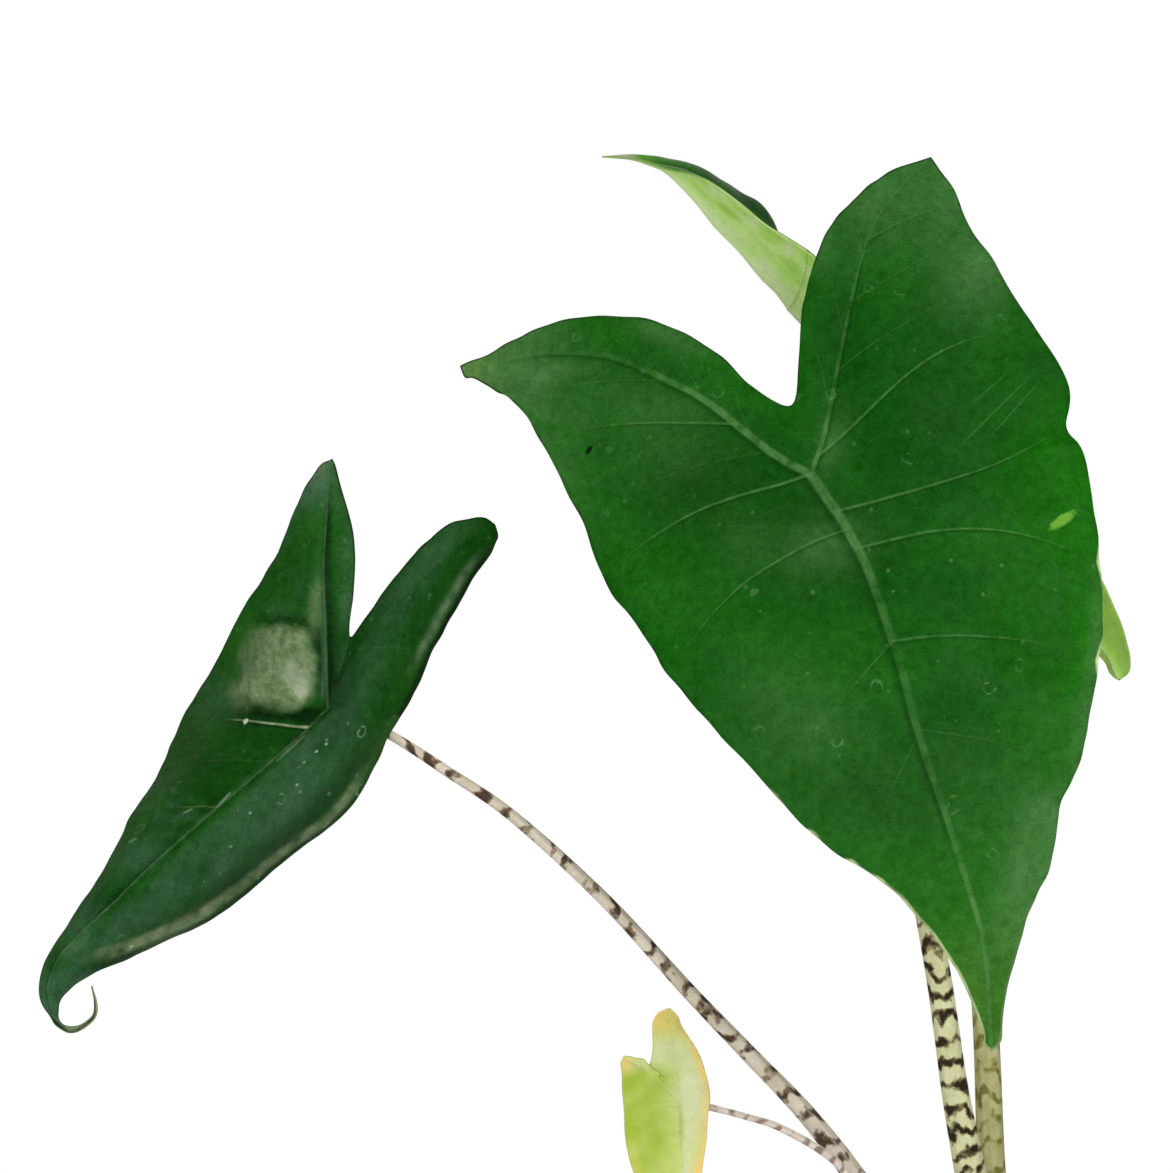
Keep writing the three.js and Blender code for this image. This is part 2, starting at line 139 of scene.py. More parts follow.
# Each leaf starts from the frame's own stations, some of them moved by up to 2.5 mm to follow the
# photograph more closely. Points are [right, back, up] from the joint
# A midrib station is [foot, left edge, right edge], a lobe station is [foot, outer edge, inner edge]
# A rib's half width at the joint is given for the midrib, the left lobe and the right lobe
# A vein is [station at the rib, station at the edge, bow in stations, strength, share shown], listed by side
LARGE_LEAF = {
    "joint": [-75, -60, 489],
    "rib_height": 2,
    "arch": 0.035,
    "ripple": 1.6,
    "midrib": [
        [[-1.1, 0.1, -2.2], [-75, 4, -42], [93.5, 14, 29]],
        [[8.2, -7, -15.2], [-66, -3, -53], [92.3, 8, 14]],
        [[13.1, -11, -24.2], [-58, -9, -65], [98.7, 2.5, 1.5]],
        [[18, -16, -34], [-48, -16, -79], [102, -11, -33]],
        [[27, -26, -61], [-15, -34, -114], [100, -24, -67]],
        [[31, -31.3, -76.5], [-2.2, -39.2, -126.8], [95.9, -30.7, -85.5]],
        [[35, -36, -92], [11, -44, -136], [91, -37, -103]],
        [[40.6, -41.4, -109.2], [21, -47, -141.5], [83.9, -42, -117.8]],
        [[46, -46, -126], [30, -50, -150], [80, -48, -137]],
        [[51, -50, -143], [41, -53, -163], [72, -52, -153]],
        [[56, -53, -160], [50.3, -56, -179], [66, -55, -173]],
        [[58, -56, -179], [55.8, -58, -193], [63, -58, -189]],
        [[58.8, -58.3, -196.4], [56.1, -59, -197.1], [62, -59, -196.4]],
        [[59, -59, -200]],
    ],
    "sinus": [-8, 11, 22],
    "left_lobe": [
        [[-16, 5, 6.3], [-85, 16, -17], [-22, 16, 29.2]],
        [[-35.4, 15.5, 22], [-99.8, 33, 10.2], [-33.4, 24, 40.5]],
        [[-51, 24, 31], [-109, 41.4, 22.8], [-58, 36, 53]],
        [[-74, 35, 40], [-115.5, 48.3, 26.2], [-86, 45, 54]],
        [[-99, 44, 41], [-120.5, 51.2, 28.9], [-108, 49, 46.3]],
        [[-115.5, 50.3, 37.6], [-124.8, 53.2, 30.9], [-119.3, 52.5, 40]],
        [[-124.8, 53.5, 35.5], [-127.8, 54.2, 31.5], [-126, 54.3, 37.5]],
        [[-129.6, 55, 35.7]],
    ],
    "right_lobe": [
        [[4.2, 5, 13], [82, 25, 51], [-5, 16, 35]],
        [[9.2, 15, 35], [72, 33, 68], [-2.4, 28, 58]],
        [[15, 27, 60], [63, 40, 83], [3.8, 38, 79]],
        [[22, 39, 83], [57, 47, 96], [14, 45, 94]],
        [[32, 48, 99], [52, 52, 106], [29, 52, 107]],
        [[47, 57, 114]],
    ],
    "rib_half_widths": [1.7, 1.4, 0.8],
    "veins": {
        "left_outer": [
            [0.0, 0.1, 0.3, 0.9, 0.9], [1.62, 2.0, 0.1, 0.75, 0.75], [1.0, 0.95, 0.1, 0.2, 0.8],
            [3.1, 3.3, 0.0, 0.25, 0.8],
        ],
        "midrib_left": [
            [1.6, 2.75, -0.5, 0.75, 0.9], [3.95, 4.0, -0.05, 0.45, 0.5], [6.0, 6.4, -0.1, 0.25, 0.7],
            [8.2, 8.4, -0.1, 0.2, 0.7],
        ],
        "midrib_right": [
            [0.9, 1.0, 0.35, 0.9, 0.95], [2.4, 3.0, -0.17, 0.85, 0.95], [3.95, 4.0, -0.15, 0.7, 0.8],
            [5.9, 6.0, -0.1, 0.3, 0.7], [7.8, 8.0, -0.1, 0.2, 0.7],
        ],
        "left_inner": [
            [1.3, 1.6, 0.1, 0.25, 0.8], [2.3, 2.8, 0.1, 0.25, 0.8], [3.2, 3.7, 0.1, 0.2, 0.8],
        ],
        "right_outer": [
            [0.45, 0.95, 0.6, 0.8, 0.85], [2.0, 2.1, 0.1, 0.3, 0.8], [4.0, 4.05, 0.05, 0.5, 0.9],
            [3.0, 3.1, 0.05, 0.25, 0.8],
        ],
        "right_inner": [
            [1.4, 1.9, 0.1, 0.25, 0.8], [2.5, 3.0, 0.1, 0.2, 0.8],
        ],
    },
}

NARROW_LEAF = {
    "joint": [-252, -45, 400],
    "rib_height": 1,
    "arch": 0.06,
    "ripple": 0.8,
    "midrib": [
        [[0, 0, 0], [-56, 44, -4], [25, 29, -7]],
        [[-20, -12, -18], [-63, 23, -22], [14, 29, -28]],
        [[-38, -22, -33], [-70, 4, -35], [1, 25, -46]],
        [[-58, -33, -50], [-78, -16, -52], [-21.6, 13, -62.4]],
        [[-74, -42, -65], [-87, -31, -67], [-45, -4, -79]],
        [[-85, -48, -75], [-94, -41, -78], [-67, -22, -87]],
        [[-92, -52, -83], [-98, -47, -86], [-81, -36, -91]],
        [[-95, -56, -92], [-99, -52, -94], [-90, -49, -96]],
        [[-94, -54, -101], [-97, -52, -101], [-92, -52, -101]],
        [[-90, -53, -106], [-90, -55, -107], [-91, -51, -106]],
        [[-85.9, -52.5, -107.3], [-86, -53.8, -107.9], [-85.8, -51.3, -106.7]],
        [[-80.6, -51.5, -103.6], [-80.3, -52.6, -103.7], [-80.9, -50.5, -103.5]],
        [[-79.9, -51, -99], [-79.7, -51.9, -99.1], [-80.1, -50.2, -98.9]],
        [[-80.9, -51, -92.8]],
    ],
    "sinus": [7.8, 8, 25.5],
    "left_lobe": [
        [[-1, 5, 15], [-43, 39, 18], [8.4, 14, 39]],
        [[-2, 12, 35], [-28, 35, 44], [9, 18, 50]],
        [[-3, 18, 53], [-19, 33, 60], [8, 23, 62]],
        [[-2, 24, 72], [-12.3, 33, 76], [4, 27, 77]],
        [[-1.2, 28.8, 87.3], [-5.3, 31, 87.3], [1.1, 29.5, 87.3]],
        [[-0.3, 30, 90.4]],
    ],
    "right_lobe": [
        [[7, 9, 16], [34, 39, 10], [13.6, 15, 32.7]],
        [[20, 19, 32], [40.6, 43, 24], [20, 23, 42]],
        [[35, 30, 47], [50.4, 48, 41], [32, 33, 56]],
        [[47, 38, 57], [58, 50, 52], [42, 41, 64.3]],
        [[55, 43, 62], [61, 47, 58], [51, 44, 67]],
        [[57.8, 44.6, 63.6], [61.5, 48.5, 60.3], [56.5, 46, 67.1]],
        [[60.4, 46.3, 64.5]],
    ],
    "rib_half_widths": [0.7, 0.6, 0.05],
    "veins": {
        "midrib_left": [
            [0.33, 0.17, 0.12, 1.0, 0.62], [1.0, 1.1, 0.1, 0.07, 0.7], [2.0, 2.1, 0.1, 0.2, 0.6],
            [3.0, 3.2, 0.1, 0.05, 0.7],
        ],
        "midrib_right": [
            [0.6, 0.8, 0.1, 0.05, 0.7], [1.6, 1.9, 0.1, 0.05, 0.7], [2.6, 3.0, 0.1, 0.05, 0.7],
        ],
        "left_outer": [
            [2.2, 2.4, 0.1, 0.05, 0.7],
        ],
        "right_outer": [
            [1.3, 1.4, 0.1, 0.05, 0.7],
        ],
    },
}

YOUNG_LEAF = {
    "joint": [-19, 60, 477],
    "rib_height": 1.4,
    "arch": 0.05,
    "ripple": 0.8,
    "midrib": [
        [[0, 0, 0], [25, 40, 11], [17, -40, 22]],
        [[-19, 2, 21], [2, 42, 33], [-3, -40, 42]],
        [[-35, 0, 44], [-19, 42, 57], [-22, -43, 62]],
        [[-52, -4, 64], [-49, 36, 79], [-41, -46, 79.6]],
        [[-69, -7, 83], [-62.8, 31, 105], [-59, -45, 95]],
        [[-87, -10, 103], [-76, 23, 115.8], [-76, -42, 106.9]],
        [[-104, -13, 121], [-92, 8, 124.6], [-93, -34, 119.2]],
        [[-114, -16, 126], [-107, -6, 128], [-107, -25, 123]],
        [[-122, -18, 128], [-119, -15, 129], [-119, -20, 127]],
        [[-132, -20, 128]],
    ],
    "sinus": [4, 0, -6],
    "left_lobe": [
        [[19, 18, -20], [46, 48, -2], [14, 16, -20]],
        [[40, 30, -40], [57, 50, -23], [34, 28, -41]],
        [[58, 38, -57], [67, 48, -43], [54, 37, -57]],
        [[69, 43, -68]],
    ],
    "right_lobe": [
        [[18, -15, -22], [37, -48, 0], [15, -12, -25]],
        [[39, -22, -45], [53.6, -45, -23], [34, -18, -47]],
        [[63, -28, -61.7], [69.7, -38, -54], [61.5, -24, -65.2]],
        [[68.4, -29.7, -71.8], [73.4, -34, -69.9], [67, -27, -72.9]],
        [[70, -30, -75.3]],
    ],
    "rib_half_widths": [1.3, 0.9, 0.9],
    "veins": {
        "midrib_right": [
            [0.5, 0.3, 0.1, 0.5, 0.9], [1.6, 1.6, 0.1, 0.5, 0.9], [3.3, 3.7, -0.05, 1.0, 1.3],
            [3.9, 4.4, 0.1, 0.3, 0.8], [5.0, 5.8, 0.1, 0.25, 0.8],
        ],
        "midrib_left": [
            [0.5, 0.3, 0.1, 0.5, 0.9], [1.6, 1.6, 0.1, 0.5, 0.9], [2.8, 3.0, 0.1, 0.5, 0.9],
            [3.9, 4.4, 0.1, 0.4, 0.8],
        ],
        "left_outer": [
            [1.0, 1.0, 0.1, 0.4, 0.9], [2.0, 2.0, 0.1, 0.3, 0.9],
        ],
        "right_outer": [
            [1.0, 1.0, 0.1, 0.4, 0.9], [2.0, 2.0, 0.1, 0.3, 0.9],
        ],
    },
}

OLD_LEAF = {
    "joint": [-122, -30, 250],
    "rib_height": 0.8,
    "arch": 0.05,
    "ripple": 0.6,
    "midrib": [
        [[0, 0, 0], [-21.6, 3, 2], [11, 2, 3]],
        [[1, -2, -7], [-20.6, 0, -7], [11, -1, -5]],
        [[1, -5, -16], [-20, -3, -17], [10, -4, -15]],
        [[2, -8, -28], [-16, -7, -30], [8, -7, -27]],
        [[3, -10, -43], [-10, -10, -45], [7, -10, -42]],
        [[4, -12, -57], [-2, -13, -59], [6, -12, -57]],
        [[4, -14, -71]],
    ],
    "sinus": [-11, 5, 12],
    "left_lobe": [
        [[-7, 2, 5], [-21.6, 5, 8], [-13, 5, 14]],
        [[-13, 4, 10], [-22, 6, 12], [-16, 6, 14.4]],
        [[-19.6, 6.7, 13.7], [-21.7, 6.8, 13.3], [-18.7, 6.8, 14.9]],
        [[-20.8, 7, 14.8]],
    ],
    "right_lobe": [
        [[-1, 3, 8], [9, 4, 12], [-10, 7, 19]],
        [[-2, 6, 17], [5.4, 7, 19], [-10, 10, 26]],
        [[-3, 9, 25], [0.9, 10, 26], [-9.2, 10.8, 28.5]],
        [[-3.9, 11, 29.3], [-0.3, 11.5, 29.1], [-7.5, 11.8, 30.7]],
        [[-3.5, 12, 32.3]],
    ],
    "rib_half_widths": [0.45, 0.3, 0.35],
    "veins": {
        "midrib_left": [
            [0.2, 0.6, 0.1, 0.5, 0.8], [1.4, 1.9, 0.1, 0.5, 0.8], [2.5, 3.0, 0.1, 0.4, 0.8],
            [3.5, 4.0, 0.1, 0.4, 0.8],
        ],
        "midrib_right": [
            [0.4, 0.7, 0.1, 0.4, 0.8], [1.6, 2.1, 0.1, 0.4, 0.8], [2.7, 3.2, 0.1, 0.4, 0.8],
        ],
        "right_outer": [
            [0.9, 1.1, 0.1, 0.4, 0.8], [2.0, 2.2, 0.1, 0.3, 0.8],
        ],
        "left_outer": [
            [0.7, 0.8, 0.1, 0.3, 0.8],
        ],
    },
}

# Each stalk repeats the frame's own knots: [x, y, z, radius] from the soil to the joint
LARGE_STEM = [
    [2, -12, 124, 8], [0, -13, 152, 7], [-4, -14, 184, 6.2], [-11, -18, 219, 5.6],
    [-18, -24, 253, 5], [-26, -31, 302, 4.6], [-39, -36, 365, 4.2], [-53, -38, 432, 3.8],
    [-64, -43, 469, 3.4], [-71, -51, 483, 3], [-75, -58.8, 488.5, 2.2],
]

NARROW_STEM = [
    [-11, 3, 124, 7], [-19, 1, 152, 5.4], [-35, -3, 185, 4.5], [-56, -6, 217, 4.1],
    [-74, -6, 240, 3.6], [-96, -5, 263, 3.2], [-118, -4, 286, 2.9], [-150, -3, 321, 2.5],
    [-185, -2, 353, 2.2], [-211, -2, 371, 2], [-229, -3, 383, 1.8], [-242, -13, 391.5, 1.8],
    [-250, -31, 397.5, 1.8], [-252, -43.8, 399.6, 1.6],
]

YOUNG_STEM = [
    [9, 8, 124, 7], [5, 9, 165, 5.7], [1, 13, 210, 5.2], [-1, 20, 265, 5],
    [-5, 30, 331, 4.6], [-12, 42, 400, 4.1], [-17, 53, 455, 3.5], [-19, 58, 469, 3.1],
    [-19.8, 59.9, 475, 1.8],
]

OLD_STEM = [
    [-15, -12, 124, 2.8], [-25, -14, 156, 1.9], [-39, -17, 187, 1.6], [-53, -20, 211, 1.5],
    [-64, -21, 225, 1.4], [-83, -23, 237, 1.3], [-97, -24, 242, 1.2], [-111, -25, 246, 1.2],
    [-118, -26.8, 248.6, 1.2], [-121.5, -29, 249.7, 1],
]


# Mesh helpers

def make_piece(name, points, triangles, node=None, attributes=None):
    """Puts whole arrays of points in millimetres and triangles into one smooth mesh that rides on the pot."""
    mesh = bpy.data.meshes.new(name)
    triangles = np.asarray(triangles, np.int32)
    mesh.vertices.add(len(points))
    mesh.vertices.foreach_set("co", (np.asarray(points, np.float32) * MM).ravel())
    mesh.loops.add(triangles.size)
    mesh.loops.foreach_set("vertex_index", triangles.ravel())
    mesh.polygons.add(len(triangles))
    mesh.polygons.foreach_set("loop_start", np.arange(0, triangles.size, 3, dtype=np.int32))
    mesh.update(calc_edges=True)
    mesh.polygons.foreach_set("use_smooth", np.ones(len(triangles), bool))
    for key, values in (attributes or {}).items():
        values = np.asarray(values, np.float32)
        if values.ndim == 2:
            layer = mesh.attributes.new(key, "FLOAT_VECTOR", "POINT")
            layer.data.foreach_set("vector", values.ravel())
        else:
            layer = mesh.attributes.new(key, "FLOAT", "POINT")
            layer.data.foreach_set("value", values)
    mesh.validate()
    piece = bpy.data.objects.new(name, mesh)
    bpy.context.scene.collection.objects.link(piece)
    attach(piece, "root")
    if node:
        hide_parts(node)
    return piece


def spline(points, t):
    """Catmull-Rom line: a cubic between neighbours whose slope at each point is half the step from the
    point before to the point after, with the last step mirrored past each end."""
    p = np.asarray(points, float)
    p = np.vstack([2 * p[0] - p[1], p, 2 * p[-1] - p[-2]])
    i = np.clip(np.floor(t).astype(int), 0, len(points) - 2)
    f = (t - i)[:, None]
    a, b, c, d = p[i], p[i + 1], p[i + 2], p[i + 3]
    return b + 0.5 * f * (c - a + f * (2 * a - 5 * b + 4 * c - d + f * (3 * (b - c) + d - a)))


def unit(vectors):
    """Vectors of the same direction and length one."""
    return vectors / np.maximum(np.linalg.norm(vectors, axis=-1, keepdims=True), 1e-9)


def ramp(values, low, high):
    """0 at low, 1 at high, and a smooth S between them."""
    t = np.clip((values - low) / (high - low), 0, 1)
    return t * t * (3 - 2 * t)


def bell(values, width):
    """1 at zero, falling away on both sides as exp(-(value / width) squared)."""
    return np.exp(-(values / width) ** 2)


def waves(x, y, z, wavelength, seed, count=14):
    """Smooth noise from about -1 to 1: the sum of sine waves in random directions near one wavelength,
    divided by the square root of their number."""
    rng = np.random.default_rng(seed)
    direction = unit(rng.normal(size=(count, 3)))
    number = 2 * math.pi / wavelength * rng.uniform(0.6, 1.7, count)
    phase = rng.uniform(0, 2 * math.pi, count)
    total = np.zeros(np.shape(x))
    for k in range(count):
        dot = x * direction[k, 0] + y * direction[k, 1] + z * direction[k, 2]
        total += np.sin(dot * number[k] + phase[k])
    return total / math.sqrt(count)


def vertex_normals(points, triangles):
    """The sum of the face normals round each point, weighted by face area."""
    a, b, c = points[triangles[:, 0]], points[triangles[:, 1]], points[triangles[:, 2]]
    face = np.cross(b - a, c - a)
    total = np.zeros_like(points)
    for corner in range(3):
        np.add.at(total, triangles[:, corner], face)
    return unit(total)


def ring_faces(rings, sides):
    """Triangles between rings of points, each ring closed on itself, with one more point at each end."""
    ids = np.arange(rings * sides).reshape(rings, sides)
    after = np.roll(ids, -1, axis=1)
    return np.concatenate([
        np.stack([ids[:-1], after[:-1], after[1:]], -1).reshape(-1, 3),
        np.stack([ids[:-1], after[1:], ids[1:]], -1).reshape(-1, 3),
        np.stack([np.full(sides, ids.size), after[0], ids[0]], -1),
        np.stack([np.full(sides, ids.size + 1), ids[-1], after[-1]], -1),
    ])


# Leaves

def column(stations, k):
    """The k-th point of each station, or its foot where a station is only a foot."""
    return [station[k] if len(station) > k else station[0] for station in stations]


def station_counts(leaf):
    """How many steps from the joint the midrib, the left lobe's rib and the right lobe's rib take."""
    return len(leaf["midrib"]) - 1, len(leaf["left_lobe"]), len(leaf["right_lobe"])


def joined(lines):
    """The midrib and both lobes' ribs as one array that holds their common first point once."""
    mid, left, right = lines
    return np.concatenate([mid, left[1:], right[1:]])


def blade_rows(leaf, per_station):
    """The rows of a blade in walking order: tip, left edge, left lobe, sinus, right lobe, right edge, tip.
    Each row is a straight line from its foot on a rib to its place on the edge."""
    midrib, left, right = leaf["midrib"], leaf["left_lobe"], leaf["right_lobe"]
    joint = midrib[0][0]

    def line(points):
        gaps = len(points) - 1
        return spline(points, np.linspace(0, gaps, gaps * per_station + 1))

    def walk(mid, lobe_left, lobe_right):
        return np.concatenate([mid[::-1], lobe_left[1:], lobe_left[-2::-1],
                               lobe_right[1:], lobe_right[-2::-1], mid[1:]])

    ribs = [line(column(midrib, 0)), line([joint] + column(left, 0)), line([joint] + column(right, 0))]
    left_edge = line(column(midrib, 1)[::-1] + column(left, 1))
    top_edge = line(column(left, 2)[::-1] + [leaf["sinus"]] + column(right, 2))
    right_edge = line(column(right, 1)[::-1] + column(midrib, 2))
    edge = np.vstack([left_edge, top_edge[1:], right_edge[1:]])
    shares = [np.linspace(0, 1, len(rib)) for rib in ribs]
    mid_ids = np.arange(len(ribs[0]))
    left_ids = np.append(0, mid_ids[-1] + np.arange(1, len(ribs[1])))
    right_ids = np.append(0, left_ids[-1] + np.arange(1, len(ribs[2])))
    return ribs, joined(shares), walk(*ribs), edge, walk(*shares), walk(mid_ids, left_ids, right_ids)


def walk_place(leaf, side, station):
    """Turns a station on one side of a rib into stations walked from the tip."""
    m, a, b = station_counts(leaf)
    return {
        "midrib_left": m - station,
        "left_outer": m + station,
        "left_inner": m + 2 * a - station,
        "right_inner": m + 2 * a + station,
        "right_outer": m + 2 * a + 2 * b - station,
        "midrib_right": m + 2 * a + 2 * b + station,
    }[side]


def line_distance(points, line):
    """The distance from each point to the nearest of a bent line's segments, and the place on the line
    where it is nearest, counted in the line's own points."""
    nearest = np.full(len(points), 1e9)
    place = np.zeros(len(points))
    for k, (start, end) in enumerate(zip(line[:-1], line[1:])):
        step = end - start
        t = np.clip((points - start) @ step / max(step @ step, 1e-9), 0, 1)
        distance = np.linalg.norm(points - start - t[:, None] * step, axis=1)
        closer = distance < nearest
        nearest = np.where(closer, distance, nearest)
        place = np.where(closer, k + t, place)
    return nearest, place


def arched_grid(leaf, feet, edge, per_station, v):
    """Rows from foot to edge: foot + v * reach, arched by 4v(1-v) and rippled by v cubed near the edge."""
    rows = np.arange(len(feet))
    reach = edge - feet
    length = np.linalg.norm(reach, axis=1)
    before = edge[np.maximum(rows - per_station // 2, 0)]
    after = edge[np.minimum(rows + per_station // 2, rows[-1])]
    upward = unit(np.cross(after - before, reach))
    spacing = np.linalg.norm(after - before, axis=1)
    ripple = leaf["ripple"] * np.sin(math.pi * rows / per_station)
    ripple = ripple * np.minimum(1, (length / RIPPLE_LENGTH) ** 2)
    ripple = ripple * np.minimum(1, (spacing / RIPPLE_GAP) ** 2)
    lift = leaf["arch"] * length[:, None] * 4 * v * (1 - v) + ripple[:, None] * v ** 3
    return feet[:, None] + reach[:, None] * v[:, None] + upward[:, None] * lift[..., None]


def rib_fields(leaf, points, ribs, per_station):
    """How far each point is from the nearest rib, in half widths of the tapering rib and in millimetres."""
    gap = np.full(len(points), FAR_OFF)
    distance = np.full(len(points), FAR_OFF)
    for line, half_width in zip(ribs, leaf["rib_half_widths"]):
        away, reached = line_distance(points, line[::per_station // 2])
        wide = half_width * (1 - RIB_TAPER * reached / ((len(line) - 1) / (per_station // 2)))
        gap = np.minimum(gap, away / wide)
        distance = np.minimum(distance, away)
    on_ribs = slice(0, len(joined(ribs)))
    gap[on_ribs] = 0
    distance[on_ribs] = 0
    return gap, distance


def vein_fields(leaf, points, grid, v, per_station, per_point):
    """The nearest vein's signed gap in half widths, positive below the vein, and how clearly that vein
    shows there; then the valley above and the ridge below that all the veins make."""
    rows, rings = grid.shape[:2]
    walk = (np.arange(rows) / per_station)[:, None] * np.ones(rings)
    gap = np.full(len(points), VEIN_GAP_LIMIT)
    near, valley, ridge = np.zeros((3, len(points)))
    best = np.full(len(points), 1e9)
    veins = [(side, *vein) for side, side_veins in leaf["veins"].items() for vein in side_veins]
    for side, at_rib, at_edge, bow, strength, shown_to in veins:
        start, end = walk_place(leaf, side, at_rib), walk_place(leaf, side, at_edge)
        onward = walk_place(leaf, side, 1) - walk_place(leaf, side, 0)
        path = start + (end - start) * v + onward * bow * 4 * v * (1 - v)
        path = np.clip(path, 0, rows / per_station - 1.01)
        low = np.floor(path * per_station).astype(int)
        part = (path * per_station - low)[:, None]
        line = grid[low, np.arange(rings)] * (1 - part) + grid[low + 1, np.arange(rings)] * part
        distance, reached = line_distance(points, line)
        reached = np.interp(reached, np.arange(rings), v)
        shown = strength * np.clip((shown_to - reached) / VEIN_FADE, 0, 1)
        half_width = (VEIN_HALF_WIDTH + VEIN_WIDENING * strength) * (1 - 0.5 * reached)
        below = -1 if side in ("midrib_left", "left_outer") else 1
        signed = distance * below * np.sign(per_point(walk - path, 0) + 1e-9) / half_width
        score = distance + VEIN_FAINTNESS_COST * (1 - shown)
        closer = score < best
        best = np.where(closer, score, best)
        gap = np.where(closer, signed, gap)
        near = np.where(closer, shown * bell(distance, VEIN_REACH), near)
        depth = (0.25 + 0.75 * strength) * bell(distance, VALLEY_WIDTH) * (1 - reached) ** 0.3
        valley = np.maximum(valley, depth)
        ridge = np.maximum(ridge, shown * bell(distance, RIDGE_WIDTH))
    return np.clip(gap, -VEIN_GAP_LIMIT, VEIN_GAP_LIMIT), near, valley, ridge


def grid_faces(ids):
    """Two triangles for each cell of a grid of point numbers, without those that have shrunk to a line."""
    a, b, c, d = ids[:-1, :-1], ids[1:, :-1], ids[1:, 1:], ids[:-1, 1:]
    faces = np.concatenate([np.stack([a, b, c], -1).reshape(-1, 3), np.stack([a, c, d], -1).reshape(-1, 3)])
    return faces[(faces != np.roll(faces, 1, axis=1)).all(axis=1)]


def thickened(leaf, upper, normals, faces, rim_ids, rim_out, shape, relief):
    """The upper face is raised along its normal by the relief, and the lower face is the upper one moved in
    by the thickness, which grows to a ridge under the ribs and veins. A narrow rounded band between them
    closes the edge, and its own points come last."""
    raised, top_detail, bottom_detail = relief(upper, shape)
    rib_height = RIB_END_HEIGHT + (leaf["rib_height"] - RIB_END_HEIGHT) * (1 - shape["along"])
    rib_width = 1 + 0.9 * leaf["rib_height"] * (1 - RIB_TAPER * shape["along"])
    thickness = np.where(shape["v"] > 0.9999, EDGE_THICKNESS, BLADE_THICKNESS)
    thickness = thickness + rib_height * bell(shape["rib_distance"], rib_width)
    thickness = thickness * (1 - 0.5 * ramp(shape["along"], 0.9, 1))
    top = upper + normals * (raised + top_detail)[:, None]
    bottom = upper + normals * (raised - thickness - bottom_detail)[:, None]
    rim = (top[rim_ids] + bottom[rim_ids]) / 2 + rim_out * EDGE_BULGE

    count = len(upper)
    band = 2 * count + np.arange(len(rim))
    band[-1] = band[0]
    a, b = rim_ids[:-1], rim_ids[1:]
    c, d = band[:-1], band[1:]
    triangles = np.concatenate([
        faces,
        faces[:, ::-1] + count,
        np.stack([a, b, d], 1), np.stack([a, d, c], 1),
        np.stack([c, d, b + count], 1), np.stack([c, b + count, a + count], 1),
    ])
    return np.vstack([top, bottom, rim]) + np.array(leaf["joint"]), triangles


